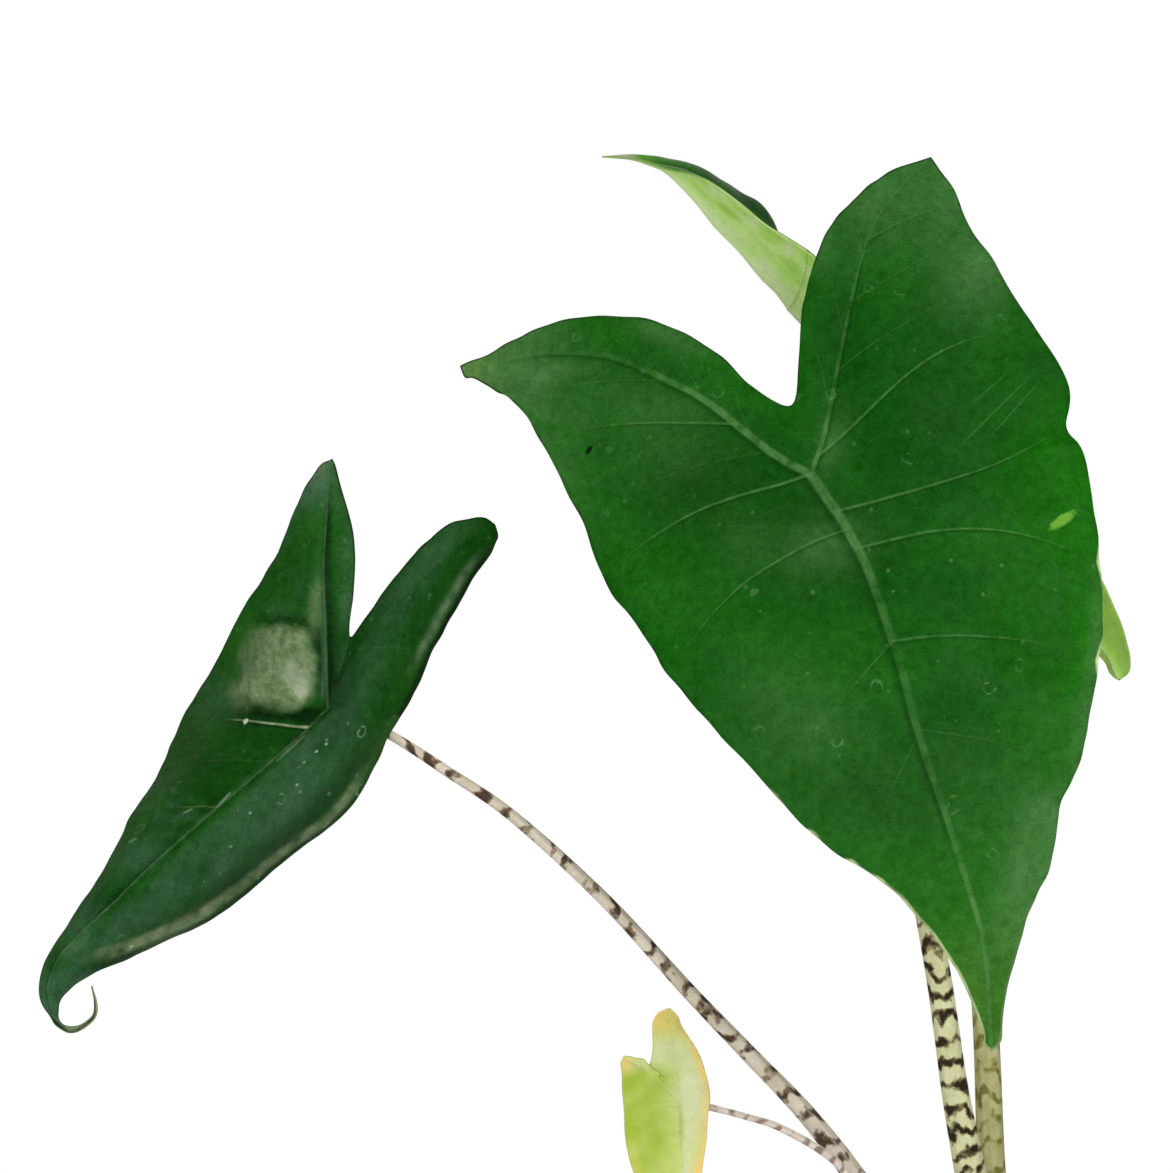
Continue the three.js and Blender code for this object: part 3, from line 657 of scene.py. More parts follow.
def blade_surface(leaf, per_station, rings, relief, paint):
    """A closed blade with its fields: an arched grid of rows by rings, thickened. Where an edge runs into a
    rib, as at the tips, the row shrinks to its foot."""
    ribs, rib_along, feet, edge, along, foot_ids = blade_rows(leaf, per_station)
    rows = len(feet)
    uneven = EDGE_UNEVENNESS * waves(*edge.T, 15, 8) * ramp(np.linalg.norm(edge - feet, axis=1), 2, 12)
    edge = edge + unit(edge - feet) * uneven[:, None]
    reach = edge - feet
    length = np.linalg.norm(reach, axis=1)
    v = np.linspace(0, 1, rings) ** RING_CROWDING
    grid = arched_grid(leaf, feet, edge, per_station, v)

    tips = length < 1e-6
    first = len(rib_along)
    ids = first + np.arange(rows * (rings - 1)).reshape(rows, rings - 1)
    ids = np.hstack([foot_ids[:, None], ids])
    ids[tips] = foot_ids[tips, None]
    upper = np.vstack([joined(ribs), grid[:, 1:].reshape(-1, 3)])
    faces = grid_faces(ids)
    used = np.zeros(len(upper), bool)
    used[faces.ravel()] = True
    normals = vertex_normals(upper, faces)
    from_rib = ramp(length[:, None] * v[1:], 0, RIB_BLEND)[..., None]
    turned = normals[foot_ids][:, None] * (1 - from_rib) + normals[first:].reshape(rows, -1, 3) * from_rib
    normals[first:] = unit(turned.reshape(-1, 3))

    def per_point(values, at_ribs):
        return np.concatenate([at_ribs * np.ones(first), (values * np.ones((rows, rings)))[:, 1:].ravel()])

    rib_gap, rib_distance = rib_fields(leaf, upper, ribs, per_station)
    edge_gap, _ = line_distance(upper, edge[::per_station // 4])
    vein_gap, vein_near, valley, ridge = vein_fields(leaf, upper, grid, v, per_station, per_point)

    # Panels count from 0 to 5: left of the midrib, left lobe outside and inside, right lobe inside and
    # outside, right of the midrib
    m, a, b = station_counts(leaf)
    place = np.arange(rows) / per_station
    breaks = np.array([m, m + a, m + 2 * a, m + 2 * a + b, m + 2 * a + 2 * b])
    panel = np.searchsorted(breaks, place, side="right")
    station = np.abs(place - breaks[[0, 0, 2, 2, 4, 4]][panel])
    # The side of each rib on which its painted shadow line falls, fading out towards the tips
    rib_shadow_side = np.where(np.isin(panel, (0, 1, 4)), 1, -1) * ramp(along, 0.75, 0.4)
    across = np.vstack([np.zeros(rings), np.cumsum(np.linalg.norm(np.diff(grid, axis=0), axis=2), axis=0)])
    field = {
        "vein_gap": vein_gap,
        "vein_near": vein_near,
        "rib_gap": np.minimum(rib_gap, VEIN_GAP_LIMIT),
        "rib_shadow_side": per_point(rib_shadow_side[:, None], 0),
        "edge_gap": edge_gap,
        "across": per_point(across, 0),
        "out": per_point(length[:, None] * v, 0),
    }
    shape = {
        "valley": valley,
        "ridge": ridge,
        "rib_distance": rib_distance,
        "edge_gap": edge_gap,
        "panel": per_point(panel[:, None], -1),
        "station": per_point(station[:, None], 0),
        "v": per_point(v[None], 0),
        "along": np.concatenate([rib_along, np.repeat(along[:, None], rings - 1, 1).ravel()]),
    }

    rim_ids = ids[:, -1]
    rim_out = unit(reach)
    rim_out[tips] = unit(rim_out[np.roll(tips, 1)] + rim_out[np.roll(tips, -1)])[:tips.sum()]
    points, triangles = thickened(leaf, upper, normals, faces, rim_ids, rim_out, shape, relief)
    keep = np.concatenate([used, used, np.ones(rows, bool)])
    keep[-1] = False
    renumber = np.cumsum(keep) - 1

    def whole(at_top, at_bottom):
        return np.concatenate([at_top, at_bottom, at_top[rim_ids]])[keep]

    attributes = {key: whole(values, values) for key, values in field.items()}
    above, below = paint(upper, shape, False), paint(upper, shape, True)
    nothing = np.zeros(len(upper))
    for key in PAINTS:
        attributes[key] = np.clip(whole(above.get(key, nothing), below.get(key, nothing)), 0, 1)
    attributes["under"] = np.concatenate([nothing, nothing + 1, np.full(rows, 0.5)])[keep]
    return points[keep], renumber[triangles], attributes


# Stalks

def stem_surface(stem, swelling):
    """A tube round a spline: at each place a ring of radius r(angle), hollowed on the side that faces the
    clump's centre and widened across it by the sheath, which fades out upwards. Both ends are closed."""
    x, y, z, base_radius = stem[0]
    knots = [[x, y, STEM_BURIED_Z, base_radius], [x, y, z - STEM_UPRIGHT, base_radius]] + stem
    line = spline(knots, np.linspace(0, len(knots) - 1, (len(knots) - 1) * STEM_STEPS + 1))
    path, radius = line[:, :3], line[:, 3]
    ahead = unit(np.gradient(path, axis=0))
    side = unit(np.array([1.0, 0, 0]) - ahead * ahead[:, :1])
    other = np.cross(ahead, side)
    distance = np.concatenate([[0], np.cumsum(np.linalg.norm(np.diff(path, axis=0), axis=1))])
    to_top = distance[-1] - distance
    radius = radius * (1 + swelling * bell(to_top, SWELLING_LENGTH))
    radius = radius * (1 - TOP_TAPER * ramp(to_top, TOP_TAPER_LENGTH, 0))
    radius, distance = radius[:, None], distance[:, None]

    sheath = np.clip((SHEATH_TOP_Z - path[:, 2]) / (SHEATH_TOP_Z - SOIL_EDGE_Z), 0, 1)[:, None]
    angle = np.linspace(0, 2 * math.pi, STEM_SIDES, endpoint=False)[None]
    inward = math.atan2(-y, -x)
    facing = np.maximum(0, np.cos(angle - inward))
    across = np.sin(angle - inward)
    wing = bell(np.abs(across) - SHEATH_LIP_PLACE, SHEATH_LIP_WIDTH) * (facing > 0)
    wing = wing * np.minimum(1, sheath * 3)
    r = radius * (1 - SHEATH_GROOVE * sheath * facing ** 2 + SHEATH_WIDENING * sheath * across ** 2)
    r = r + SHEATH_LIP * wing
    r = r + FLUTE_DEPTH * radius * np.sin(angle * FLUTES + distance * FLUTE_TWIST)
    rings = path[:, None] + side[:, None] * (r * np.cos(angle))[..., None] \
        + other[:, None] * (r * np.sin(angle))[..., None]
    points = np.vstack([rings.reshape(-1, 3), path[0], path[-1]])

    whole = np.ones(angle.shape)
    place = np.stack([radius * np.cos(angle), radius * np.sin(angle), distance * whole], -1).reshape(-1, 3)
    attributes = {
        "stalk": np.vstack([place, [0, 0, 0], [0, 0, distance[-1, 0]]]) * MM,
        "wing": np.append(wing.ravel(), [0, 0]),
        "up": np.append((distance / distance[-1] * whole).ravel(), [0, 1]),
    }
    return points, ring_faces(len(path), STEM_SIDES), attributes


# Pot and soil

def inner_radius(z):
    """The pot's inner wall, a straight cone, at a height."""
    bottom = POT_BASE_DIAMETER / 2 - POT_WALL
    top = POT_TOP_DIAMETER / 2 - POT_WALL - RIM_THICKENING - EDGE_ROUNDING
    return bottom + (top - bottom) * z / (POT_HEIGHT - EDGE_ROUNDING)


def rounded(profile, radius, steps=6):
    """Replaces each inner corner of an open line by an arc-like quadratic curve that starts and ends at
    most a radius away from the corner."""
    profile = np.array(profile, float)
    points = [profile[0]]
    for before, corner, after in zip(profile[:-2], profile[1:-1], profile[2:]):
        cut_in = min(radius, np.linalg.norm(before - corner) * 0.45)
        cut_out = min(radius, np.linalg.norm(after - corner) * 0.45)
        start = corner + unit(before - corner) * cut_in
        end = corner + unit(after - corner) * cut_out
        t = np.linspace(0, 1, steps)[:, None]
        points.extend((1 - t) ** 2 * start + 2 * t * (1 - t) * corner + t ** 2 * end)
    return np.array(points + [profile[-1]])


def turned_surface(profile, segments):
    """A profile of (radius, height) points turned about the vertical, closed by one point at each end."""
    angle = np.linspace(0, 2 * math.pi, segments, endpoint=False)
    radius, height = profile[1:-1, :1], profile[1:-1, 1:]
    rings = np.stack([radius * np.cos(angle), radius * np.sin(angle), np.repeat(height, segments, 1)], -1)
    points = np.vstack([rings.reshape(-1, 3), [0, 0, profile[0, 1]], [0, 0, profile[-1, 1]]])
    return points, ring_faces(len(rings), segments)


def pot_profile():
    """Radius and height from the middle of the base up the outside, over the rim and down to the floor."""
    base, top = POT_BASE_DIAMETER / 2, POT_TOP_DIAMETER / 2
    rim_z = POT_HEIGHT - RIM_HEIGHT
    outline = [
        [0, 0],
        [base, 0],
        [top - RIM_STEP, rim_z],
        [top, rim_z + 0.5],
        [top, POT_HEIGHT],
        [top - POT_WALL - RIM_THICKENING, POT_HEIGHT],
        [inner_radius(POT_FLOOR), POT_FLOOR],
        [0, POT_FLOOR],
    ]
    return rounded(outline, EDGE_ROUNDING * 1.3)


def soil_height(x, y):
    """A low mound that falls to the pot's wall, with smooth lumps of three sizes."""
    mound = SOIL_MOUND * (1 - (x * x + y * y) / inner_radius(SOIL_EDGE_Z) ** 2)
    lumps = sum(height * waves(x, y, 0 * x, wavelength, seed) for height, wavelength, seed in SOIL_LUMPS)
    return SOIL_EDGE_Z - 0.5 + mound + lumps


def soil_surface():
    """The lumpy top is a disc grid of rings by segments, and a wall and a floor inside the pot close it."""
    angle = np.linspace(0, 2 * math.pi, SOIL_SEGMENTS, endpoint=False)
    edge = inner_radius(SOIL_EDGE_Z) - SOIL_GAP
    radii = edge * (np.arange(1, SOIL_RINGS + 1) / SOIL_RINGS) ** 0.85
    x, y = radii[:, None] * np.cos(angle), radii[:, None] * np.sin(angle)
    top = np.stack([x, y, soil_height(x, y)], -1)
    wall = (inner_radius(POT_FLOOR + 4) - SOIL_GAP, POT_FLOOR + 4)
    floor = (inner_radius(POT_FLOOR) - 4 - SOIL_GAP, POT_FLOOR + SOIL_GAP)
    lower = [np.stack([r * np.cos(angle), r * np.sin(angle), z + 0 * angle], -1) for r, z in (wall, floor)]
    rings = np.concatenate([top, lower])[::-1]
    middle = soil_height(np.zeros(1), np.zeros(1))[0]
    points = np.vstack([rings.reshape(-1, 3), [0, 0, floor[1]], [0, 0, middle]])
    return points, ring_faces(len(rings), SOIL_SEGMENTS)


def crumb_shape():
    """A ball: an icosahedron's faces, each split in four, with every point pushed out to radius one."""
    g = (1 + math.sqrt(5)) / 2
    points = unit(np.array([[-1, g, 0], [1, g, 0], [-1, -g, 0], [1, -g, 0], [0, -1, g], [0, 1, g],
                            [0, -1, -g], [0, 1, -g], [g, 0, -1], [g, 0, 1], [-g, 0, -1], [-g, 0, 1]], float))
    faces = np.array([[0, 11, 5], [0, 5, 1], [0, 1, 7], [0, 7, 10], [0, 10, 11], [1, 5, 9], [5, 11, 4],
                      [11, 10, 2], [10, 7, 6], [7, 1, 8], [3, 9, 4], [3, 4, 2], [3, 2, 6], [3, 6, 8],
                      [3, 8, 9], [4, 9, 5], [2, 4, 11], [6, 2, 10], [8, 6, 7], [9, 8, 1]])
    edges = np.sort(np.concatenate([faces[:, [0, 1]], faces[:, [1, 2]], faces[:, [2, 0]]]), axis=1)
    pairs, where = np.unique(edges, axis=0, return_inverse=True)
    a, b, c = faces.T
    ab, bc, ca = len(points) + where.reshape(3, -1)
    points = np.vstack([points, unit(points[pairs].mean(axis=1))])
    corners = (a, ab, ca), (b, bc, ab), (c, ca, bc), (ab, bc, ca)
    return points, np.concatenate([np.stack(corner, 1) for corner in corners])


def random_turns(rng, count, tilt):
    """Rotation matrices: a spin about the vertical, a tilt of at most `tilt`, and a turn for its way."""
    spin = rng.uniform(0, 2 * math.pi, count)
    lean = rng.uniform(0, tilt, count)
    way = rng.uniform(0, 2 * math.pi, count)

    def turn(angle, axis):
        c, s = np.cos(angle), np.sin(angle)
        zero, one = np.zeros(count), np.ones(count)
        about_z = [[c, -s, zero], [s, c, zero], [zero, zero, one]]
        about_x = [[one, zero, zero], [zero, c, -s], [zero, s, c]]
        return np.moveaxis(np.array(about_z if axis == "z" else about_x), -1, 0)

    return turn(way, "z") @ turn(lean, "x") @ turn(spin, "z")


def scattered(count, sizes, flatness, seed, lift, tilt, rough):
    """Crumbs on the soil: one ball for each, stretched, roughened by noise, turned, and set on the mound."""
    rng = np.random.default_rng(seed)
    ball, faces = crumb_shape()
    size = rng.uniform(*sizes, count)
    stretch = np.stack([rng.uniform(0.8, 1.5, count), rng.uniform(0.7, 1.1, count),
                        rng.uniform(*flatness, count)], 1)
    bump = 1 + rough * rng.normal(size=(count, len(ball)))
    local = ball[None] * bump[..., None] * stretch[:, None] * size[:, None, None]
    local = np.einsum("nij,nkj->nki", random_turns(rng, count, tilt), local)
    radius = (inner_radius(SOIL_EDGE_Z) - 3) * np.sqrt(rng.uniform(0, 1, count))
    angle = rng.uniform(0, 2 * math.pi, count)
    x, y = radius * np.cos(angle), radius * np.sin(angle)
    z = soil_height(x, y) + size * lift
    points = (local + np.stack([x, y, z], 1)[:, None]).reshape(-1, 3)
    limit = inner_radius(SOIL_EDGE_Z) - 1.2
    points[:, :2] *= np.minimum(1, limit / np.linalg.norm(points[:, :2], axis=1))[:, None]
    triangles = (faces[None] + (np.arange(count) * len(ball))[:, None, None]).reshape(-1, 3)
    return points, triangles, {"tone": np.repeat(rng.uniform(0, 1, count), len(ball))}


# Materials

class Wire:
    """One output of a node. What it gives with +, -, * and / and a number or another wire is a node too."""

    def __init__(self, tree, socket):
        self.tree = tree
        self.socket = socket

    def __add__(self, other):
        return math_node("ADD", self, other)

    def __sub__(self, other):
        return math_node("SUBTRACT", self, other)

    def __mul__(self, other):
        return math_node("MULTIPLY", self, other)

    def __truediv__(self, other):
        return math_node("DIVIDE", self, other)

    def between(self, low, high):
        """0 at low, 1 at high, and a smooth ramp between them."""
        return add_node(self.tree, "MapRange", {"Value": self, "From Min": low, "From Max": high},
                        interpolation_type="SMOOTHSTEP")


def add_node(tree, kind, inputs, output=0, **settings):
    """Adds a node, links each input to a wire or sets it to a constant, and returns one of its outputs."""
    node = tree.nodes.new("ShaderNode" + kind)
    for key, value in settings.items():
        setattr(node, key, value)
    for key, value in inputs.items():
        if isinstance(value, Wire):
            tree.links.new(value.socket, node.inputs[key])
        else:
            node.inputs[key].default_value = value
    return Wire(tree, node.outputs[output])


def math_node(operation, a, b=0.0):
    return add_node(a.tree, "Math", {0: a, 1: b}, operation=operation)


def mix(factor, a, b):
    """Colour a where the factor is 0, and colour b where it is 1."""
    return add_node(factor.tree, "Mix", {0: factor, 6: a, 7: b}, 2, data_type="RGBA")


def attribute(tree, name, output="Fac"):
    """One of the fields that the piece's own mesh carries."""
    return add_node(tree, "Attribute", {}, output, attribute_name=name)


def noise(place, scale, detail, roughness=0.5, distortion=0.0):
    inputs = {"Vector": place, "Scale": scale, "Detail": detail, "Roughness": roughness,
              "Distortion": distortion}
    return add_node(place.tree, "TexNoise", inputs, "Fac")


def cells(place, scale):
    """The distance to the nearest of random points, as a share of their spacing, and that point's colour."""
    distance = add_node(place.tree, "TexVoronoi", {"Vector": place, "Scale": scale}, "Distance")
    return distance, Wire(place.tree, distance.socket.node.outputs["Color"])


def object_place(tree):
    return add_node(tree, "TexCoord", {}, "Object")


def stretched(place, scale):
    return add_node(place.tree, "Mapping", {"Vector": place, "Scale": scale})


def vector_length(vector):
    return add_node(vector.tree, "VectorMath", {0: vector}, "Value", operation="LENGTH")


def scaled(colour, factor):
    """A colour made lighter or darker by a factor."""
    return add_node(colour.tree, "VectorMath", {0: colour, "Scale": factor}, operation="SCALE")


def lifted(colour, amount):
    """A colour with the same amount added to red, green and blue, never below black."""
    more = add_node(colour.tree, "VectorMath", {0: colour, 1: amount}, operation="ADD")
    nearly_black = (0.0003, 0.0003, 0.0003)
    return add_node(colour.tree, "VectorMath", {0: more, 1: nearly_black}, operation="MAXIMUM")


def seen(colour):
    """A colour as a screen shows it, from 0 to 255, in the linear values that materials use."""
    values = np.array(colour) / 255
    linear = np.where(values <= 0.04045, values / 12.92, ((values + 0.055) / 1.055) ** 2.4)
    return (*map(float, linear), 1.0)


def new_material(name, roughness, specular):
    material = bpy.data.materials.new(name)
    material.use_nodes = True
    shader = material.node_tree.nodes["Principled BSDF"]
    shader.inputs["Roughness"].default_value = roughness
    shader.inputs["Specular IOR Level"].default_value = specular
    return material, material.node_tree, shader


def clothe(tree, shader, colour, height, strength=1.0, distance=MM, roughness=None):
    """Links a colour, a bump and, where one is given, a roughness to the shader."""
    bump = {"Height": height, "Strength": strength, "Distance": distance}
    tree.links.new(add_node(tree, "Bump", bump).socket, shader.inputs["Normal"])
    tree.links.new(colour.socket, shader.inputs["Base Color"])
    if roughness:
        tree.links.new(roughness.socket, shader.inputs["Roughness"])


def water_spots(place):
    """Dried drops: broken thin rings round some of the cells, and small ragged dots in others."""
    distance, own = cells(place, 75)
    bent = noise(place, 420, 3)
    distance = distance + bent * 0.16
    broken = noise(place, 190, 2).between(0.42, 0.56)
    ring = distance.between(0.2, 0.23) * distance.between(0.29, 0.25) * broken
    chosen = add_node(place.tree, "SeparateColor", {0: own}, 0).between(0.7, 0.74)
    dots, dot_own = cells(place, 210)
    dot_chosen = add_node(place.tree, "SeparateColor", {0: dot_own}, 1).between(0.86, 0.88)
    dot = (dots + bent * 0.3).between(0.36, 0.26) * dot_chosen
    return math_node("MAXIMUM", ring * chosen, dot * 0.7)


def mark_share(place, joint, mark):
    """1 inside and 0 outside an ellipse that runs through the blade from front to back, with a ragged edge.
    A mark is [right, up, half length, half width, turn, colour, strength], with places from the joint."""
    right, up, half_length, half_width, turn, _, strength = mark
    ellipse = {
        "Vector": place,
        "Location": ((joint[0] + right) * MM, 0, (joint[2] + up) * MM),
        "Rotation": (0, -math.radians(turn), 0),
        "Scale": (half_length * MM, 100, half_width * MM),
    }
    far = vector_length(add_node(place.tree, "Mapping", ellipse, vector_type="TEXTURE"))
    return (far + noise(place, 700, 3, 0.6) * 0.9).between(1.6, 1.1) * strength


def leaf_material(name, finish, joint):
    """Two clouded greens, the painted fields broken up by noise, fine lines along the side veins, a faint
    net, pale veins and ribs with a painted shadow line below them, water spots and a dark margin. The
    underside has its own colours. Veins, net and pores also raise the surface."""
    material, tree, shader = new_material(name, finish["roughness"], finish["specular"])
    place = object_place(tree)

    def colour(key):
        return seen(finish[key])

    clouds = noise(place, 17, 4, 0.6).between(0.36, 0.64)
    upper = mix(clouds, colour("dark"), colour("light"))
    lower = mix(clouds, colour("under"), colour("under_light"))
    breakup = noise(place, 48, 5, 0.65, 0.3).between(0.25, 0.7)
    uneven = breakup * finish["uneven"] + (0.9 - 0.5 * finish["uneven"])
    for key in ("deep", "fresh", "pale", "warm"):
        amount = attribute(tree, key) * uneven
        upper = mix(amount, upper, colour(key))
        lower = mix(amount, lower, colour("under_" + key))

    across_and_out = {"X": attribute(tree, "across"), "Y": attribute(tree, "out")}
    lines = noise(stretched(add_node(tree, "CombineXYZ", across_and_out), (0.9, 0.06, 1.0)), 1.0, 4, 0.6)
    net_inputs = {"Vector": place, "Scale": 330}
    net = add_node(tree, "TexVoronoi", net_inputs, "Distance", feature="DISTANCE_TO_EDGE")
    net = net.between(0.12, 0.02)
    fine = noise(place, 900, 3, 0.7)
    middle = noise(place, 260, 4, 0.6)
    strength = finish["grain"]
    grain = lines * (0.25 * strength) + fine * (0.8 * strength) + middle * strength
    grain = grain + net * (-0.06 * min(1, 1.3 * strength)) + (1 - 1.02 * strength)
    upper = lifted(scaled(upper, grain), (fine + middle - 1.0) * finish["glint"])
    lower = scaled(lower, grain)

    gap, near = attribute(tree, "vein_gap"), attribute(tree, "vein_near")
    broken = middle * 1.6 - 0.2
    line = near * math_node("ABSOLUTE", gap).between(1.6, 0.3) * broken
    # Painted shadow: a dark line along the lower side of each vein and along one side of each rib, as if lit
    # from above
    shade = near * gap.between(0.7, 1.5) * gap.between(4.5, 1.8)
    rib_gap = attribute(tree, "rib_gap")
    patchy = noise(place, 130, 4, 0.65).between(0.25, 0.75) * 0.9 + broken * 0.3
    rib = rib_gap.between(1.5, 0.5) * patchy * (attribute(tree, "rib_fade") * -0.6 + finish["rib_show"])
    rib_shade = attribute(tree, "rib_shadow_side").between(0.05, 0.5)
    rib_shade = rib_shade * rib_gap.between(0.85, 1.3) * rib_gap.between(3.6, 1.6)
    upper = mix(shade * finish["vein_shade"], upper, colour("shade"))
    upper = mix(rib_shade * finish["rib_shade"], upper, colour("shade"))
    upper = mix(line * finish["vein_show"], upper, colour("vein"))
    upper = mix(rib, upper, colour("rib"))
    lower = mix(line * 0.8, lower, colour("under_vein"))
    lower = mix(rib_gap.between(2.2, 0.9) * 0.8, lower, colour("under_rib"))

    for mark in finish.get("marks", []):
        upper = mix(mark_share(place, joint, mark), upper, seen(mark[5]))
    upper = mix(water_spots(place) * attribute(tree, "spots") * 0.6, upper, colour("spot"))
    rim_light = attribute(tree, "rim_light")
    edge_gap = attribute(tree, "edge_gap") / (rim_light * 0.7 + 1.0)
    margin = edge_gap.between(finish["edge_width"], finish["edge_width"] * 0.35)
    upper = mix(margin * (middle * 1.6), upper, mix(rim_light, colour("edge"), colour("edge_light")))
    lower = mix(margin * 0.5, lower, colour("under_vein"))

    whole = mix(attribute(tree, "under").between(0.55, 0.75), upper, lower)
    height = line * 0.16 + shade * -0.08 + lines * 0.1 + net * -0.03 + fine * 0.07 + middle * 0.12
    clothe(tree, shader, whole, height, roughness=breakup * 0.16 + (finish["roughness"] - 0.08))
    return material


def stalk_material(name, finish):
    """Pale stalk with ragged cross bands: a sine wave along the stalk, bent and broken by noise in the
    stalk's own round-and-up coordinates and cut softly at a level, with a brown fringe round a dark heart."""
    material, tree, shader = new_material(name, 0.5, 0.2)
    place = attribute(tree, "stalk", "Vector")

    def colour(key):
        return seen(finish[key])

    def stalk_noise(around, upward, detail, roughness=0.5):
        return noise(stretched(place, (around, around, upward)), 1, detail, roughness)

    clouds = stalk_noise(120, 70, 4, 0.6)
    lines = stalk_noise(500, 40, 3)
    specks = stalk_noise(600, 600, 2)
    skin = mix(clouds.between(0.32, 0.68), colour("pale"), colour("shade"))
    skin = scaled(skin, lines * 0.2 + specks * 0.2 + 0.8)
    up = add_node(tree, "SeparateXYZ", {0: place}, "Z")
    phase = up * (2 * math.pi / (finish["spacing"] * MM)) + stalk_noise(110, 60, 2) * 14
    ragged = stalk_noise(380, 420, 4, 0.65)
    gaps = stalk_noise(170, 110, 2)
    bands = math_node("SINE", phase) * 0.8 + ragged * 2.4 + gaps * 3.4 - 2.9
    level = finish["level"]
    fringe = bands.between(level - 0.3, level + 0.25) * finish["show"]
    heart = bands.between(level, level + 0.75) * finish["show"]
    skin = mix(fringe * 0.8, skin, colour("band_edge"))
    skin = mix(heart, skin, colour("band"))
    skin = mix(attribute(tree, "up").between(0.12, 0.0) * 0.5, skin, colour("foot"))
    skin = mix(attribute(tree, "wing") * 0.5, skin, colour("pale"))
    clothe(tree, shader, skin, lines * 0.05 + fringe * 0.05, roughness=clouds * 0.2 + 0.4)
    return material


def soil_material(name, dark, light):
    """Two clouded colours, lighter where a crumb's own tone is high, on a rough surface."""
    material, tree, shader = new_material(name, 0.9, 0.25)
    place = object_place(tree)
    colour = mix(noise(place, 260, 5, 0.6).between(0.35, 0.7), dark, light)
    colour = mix(attribute(tree, "tone") * 0.6, colour, light)
    clothe(tree, shader, colour, noise(place, 1500, 6, 0.7), 0.6, 0.6 * MM)
    return material


def pot_material():
    """An off-white satin glaze with faint clouds, a few brown specks and a slightly uneven surface."""
    material, tree, shader = new_material("satin_pot_glaze", 0.38, 0.5)
    place = object_place(tree)
    colour = mix(noise(place, 22, 4).between(0.3, 0.7), (0.74, 0.72, 0.68, 1), (0.79, 0.775, 0.74, 1))
    specks = noise(place, 700, 2).between(0.74, 0.78)
    colour = mix(specks * 0.35, colour, (0.35, 0.3, 0.24, 1))
    clothe(tree, shader, colour, noise(place, 60, 4), 0.12)
    return material


# Reliefs: how far the whole blade rises, and how far each face then stands out from it, in millimetres

def patch(points, right, up, length, width, turn=0.0, power=1.0):
    """An ellipse that fades out like a bell curve, or with a firmer edge where the power is more than 1."""
    turn = math.radians(turn)
    right, up = points[:, 0] - right, points[:, 2] - up
    along = (right * math.cos(turn) + up * math.sin(turn)) / length
    across = (up * math.cos(turn) - right * math.sin(turn)) / width
    return np.exp(-(along ** 2 + across ** 2) ** power)


def patches(points, rows):
    """A sum of patches, each given as [amount, right, up, half length, half width, turn, power]."""
    return sum(amount * patch(points, *row) for amount, *row in rows)


def away_from_joint(points, start, end):
    """0 where the stalk meets the blade, so that it stays covered, and 1 from `end` away."""
    return ramp(np.linalg.norm(points, axis=1), start, end)


def large_leaf_relief(points, shape):
    """The blade swells between its side veins and dips into a channel along its ribs, over low waves."""
    edge_fade = np.clip(shape["edge_gap"] / 14, 0, 1)
    channel = (1 - 0.6 * shape["along"]) * bell(shape["rib_distance"], 4)
    raised = 0.9 * waves(*points.T, 62, 3) + 0.35 * waves(*points.T, 26, 4) - 0.9 * shape["valley"]
    raised = (raised * edge_fade - 0.6 * channel) * away_from_joint(points, 3, 14)
    above = 0.1 * shape["ridge"] + 0.22 * bell(shape["rib_distance"], 1.3) * (1 - shape["along"])
    return raised, above, 0.5 * shape["ridge"]


def blister(points):
    """A rounded square with an uneven outline, 1 on its top and 0 outside, steep at its right and lower
    sides and gentle at its left. The distance from its middle comes back too, in half widths, with the
    places across and up that it is made of."""
    across = points[:, 0] + 18.3
    across = across / np.where(across > 0, 12.6, 16.5)
    up = (points[:, 2] - 13.6) / 14.4
    far = (np.abs(across) ** 3 + np.abs(up) ** 3) ** (1 / 3) + 0.045 * waves(*points.T, 9, 41)
    steep = ramp(across - up, -1.6, 0.8)
    return ramp(far, 1.25 - 0.1 * steep, 0.35 + 0.45 * steep), far, across, up


def narrow_leaf_relief(points, shape):
    """As the large leaf but smoother, with one wrinkled blister beside the left lobe's rib, a groove round
    it and a smaller swelling at its lower left."""
    edge_fade = np.clip(shape["edge_gap"] / 10, 0, 1)
    channel = (1 - 0.5 * shape["along"]) * bell(shape["rib_distance"], 2.5) * ramp(points[:, 0], 14, 4)
    raised = 0.4 * waves(*points.T, 45, 5) + 0.12 * waves(*points.T, 11, 42) - 0.5 * shape["valley"]
    raised = (raised * edge_fade - 0.6 * channel) * away_from_joint(points, 3, 14)
    plateau, far, across, up = blister(points)
    groove = bell(far - 1.17, 0.09) * ramp(across + up, -0.6, 0.6)
    bulge = 2.4 * plateau * (1 + 0.14 * waves(*points.T, 5, 43)) - 0.8 * groove
    bulge = bulge + 0.9 * patch(points, -34, 2, 6, 5, 20)
    raised = raised + np.isin(shape["panel"], (0, 1)) * bulge * away_from_joint(points, 2, 6)
    return raised, 0.1 * shape["ridge"], 0.35 * shape["ridge"]


def young_leaf_relief(points, shape):
    """Low waves and side veins that stand out below."""
    edge_fade = np.clip(shape["edge_gap"] / 8, 0, 1)
    raised = (0.35 * waves(*points.T, 30, 6) - 0.5 * shape["valley"]) * edge_fade
    return raised, 0 * raised, 0.3 * shape["ridge"]


def old_leaf_relief(points, shape):
    """A limp blade with small creases between its veins."""
    edge_fade = np.clip(shape["edge_gap"] / 5, 0, 1)
    raised = (0.35 * waves(*points.T, 16, 7) - 0.35 * shape["valley"]) * edge_fade
    return raised, 0 * raised, 0.25 * shape["ridge"]
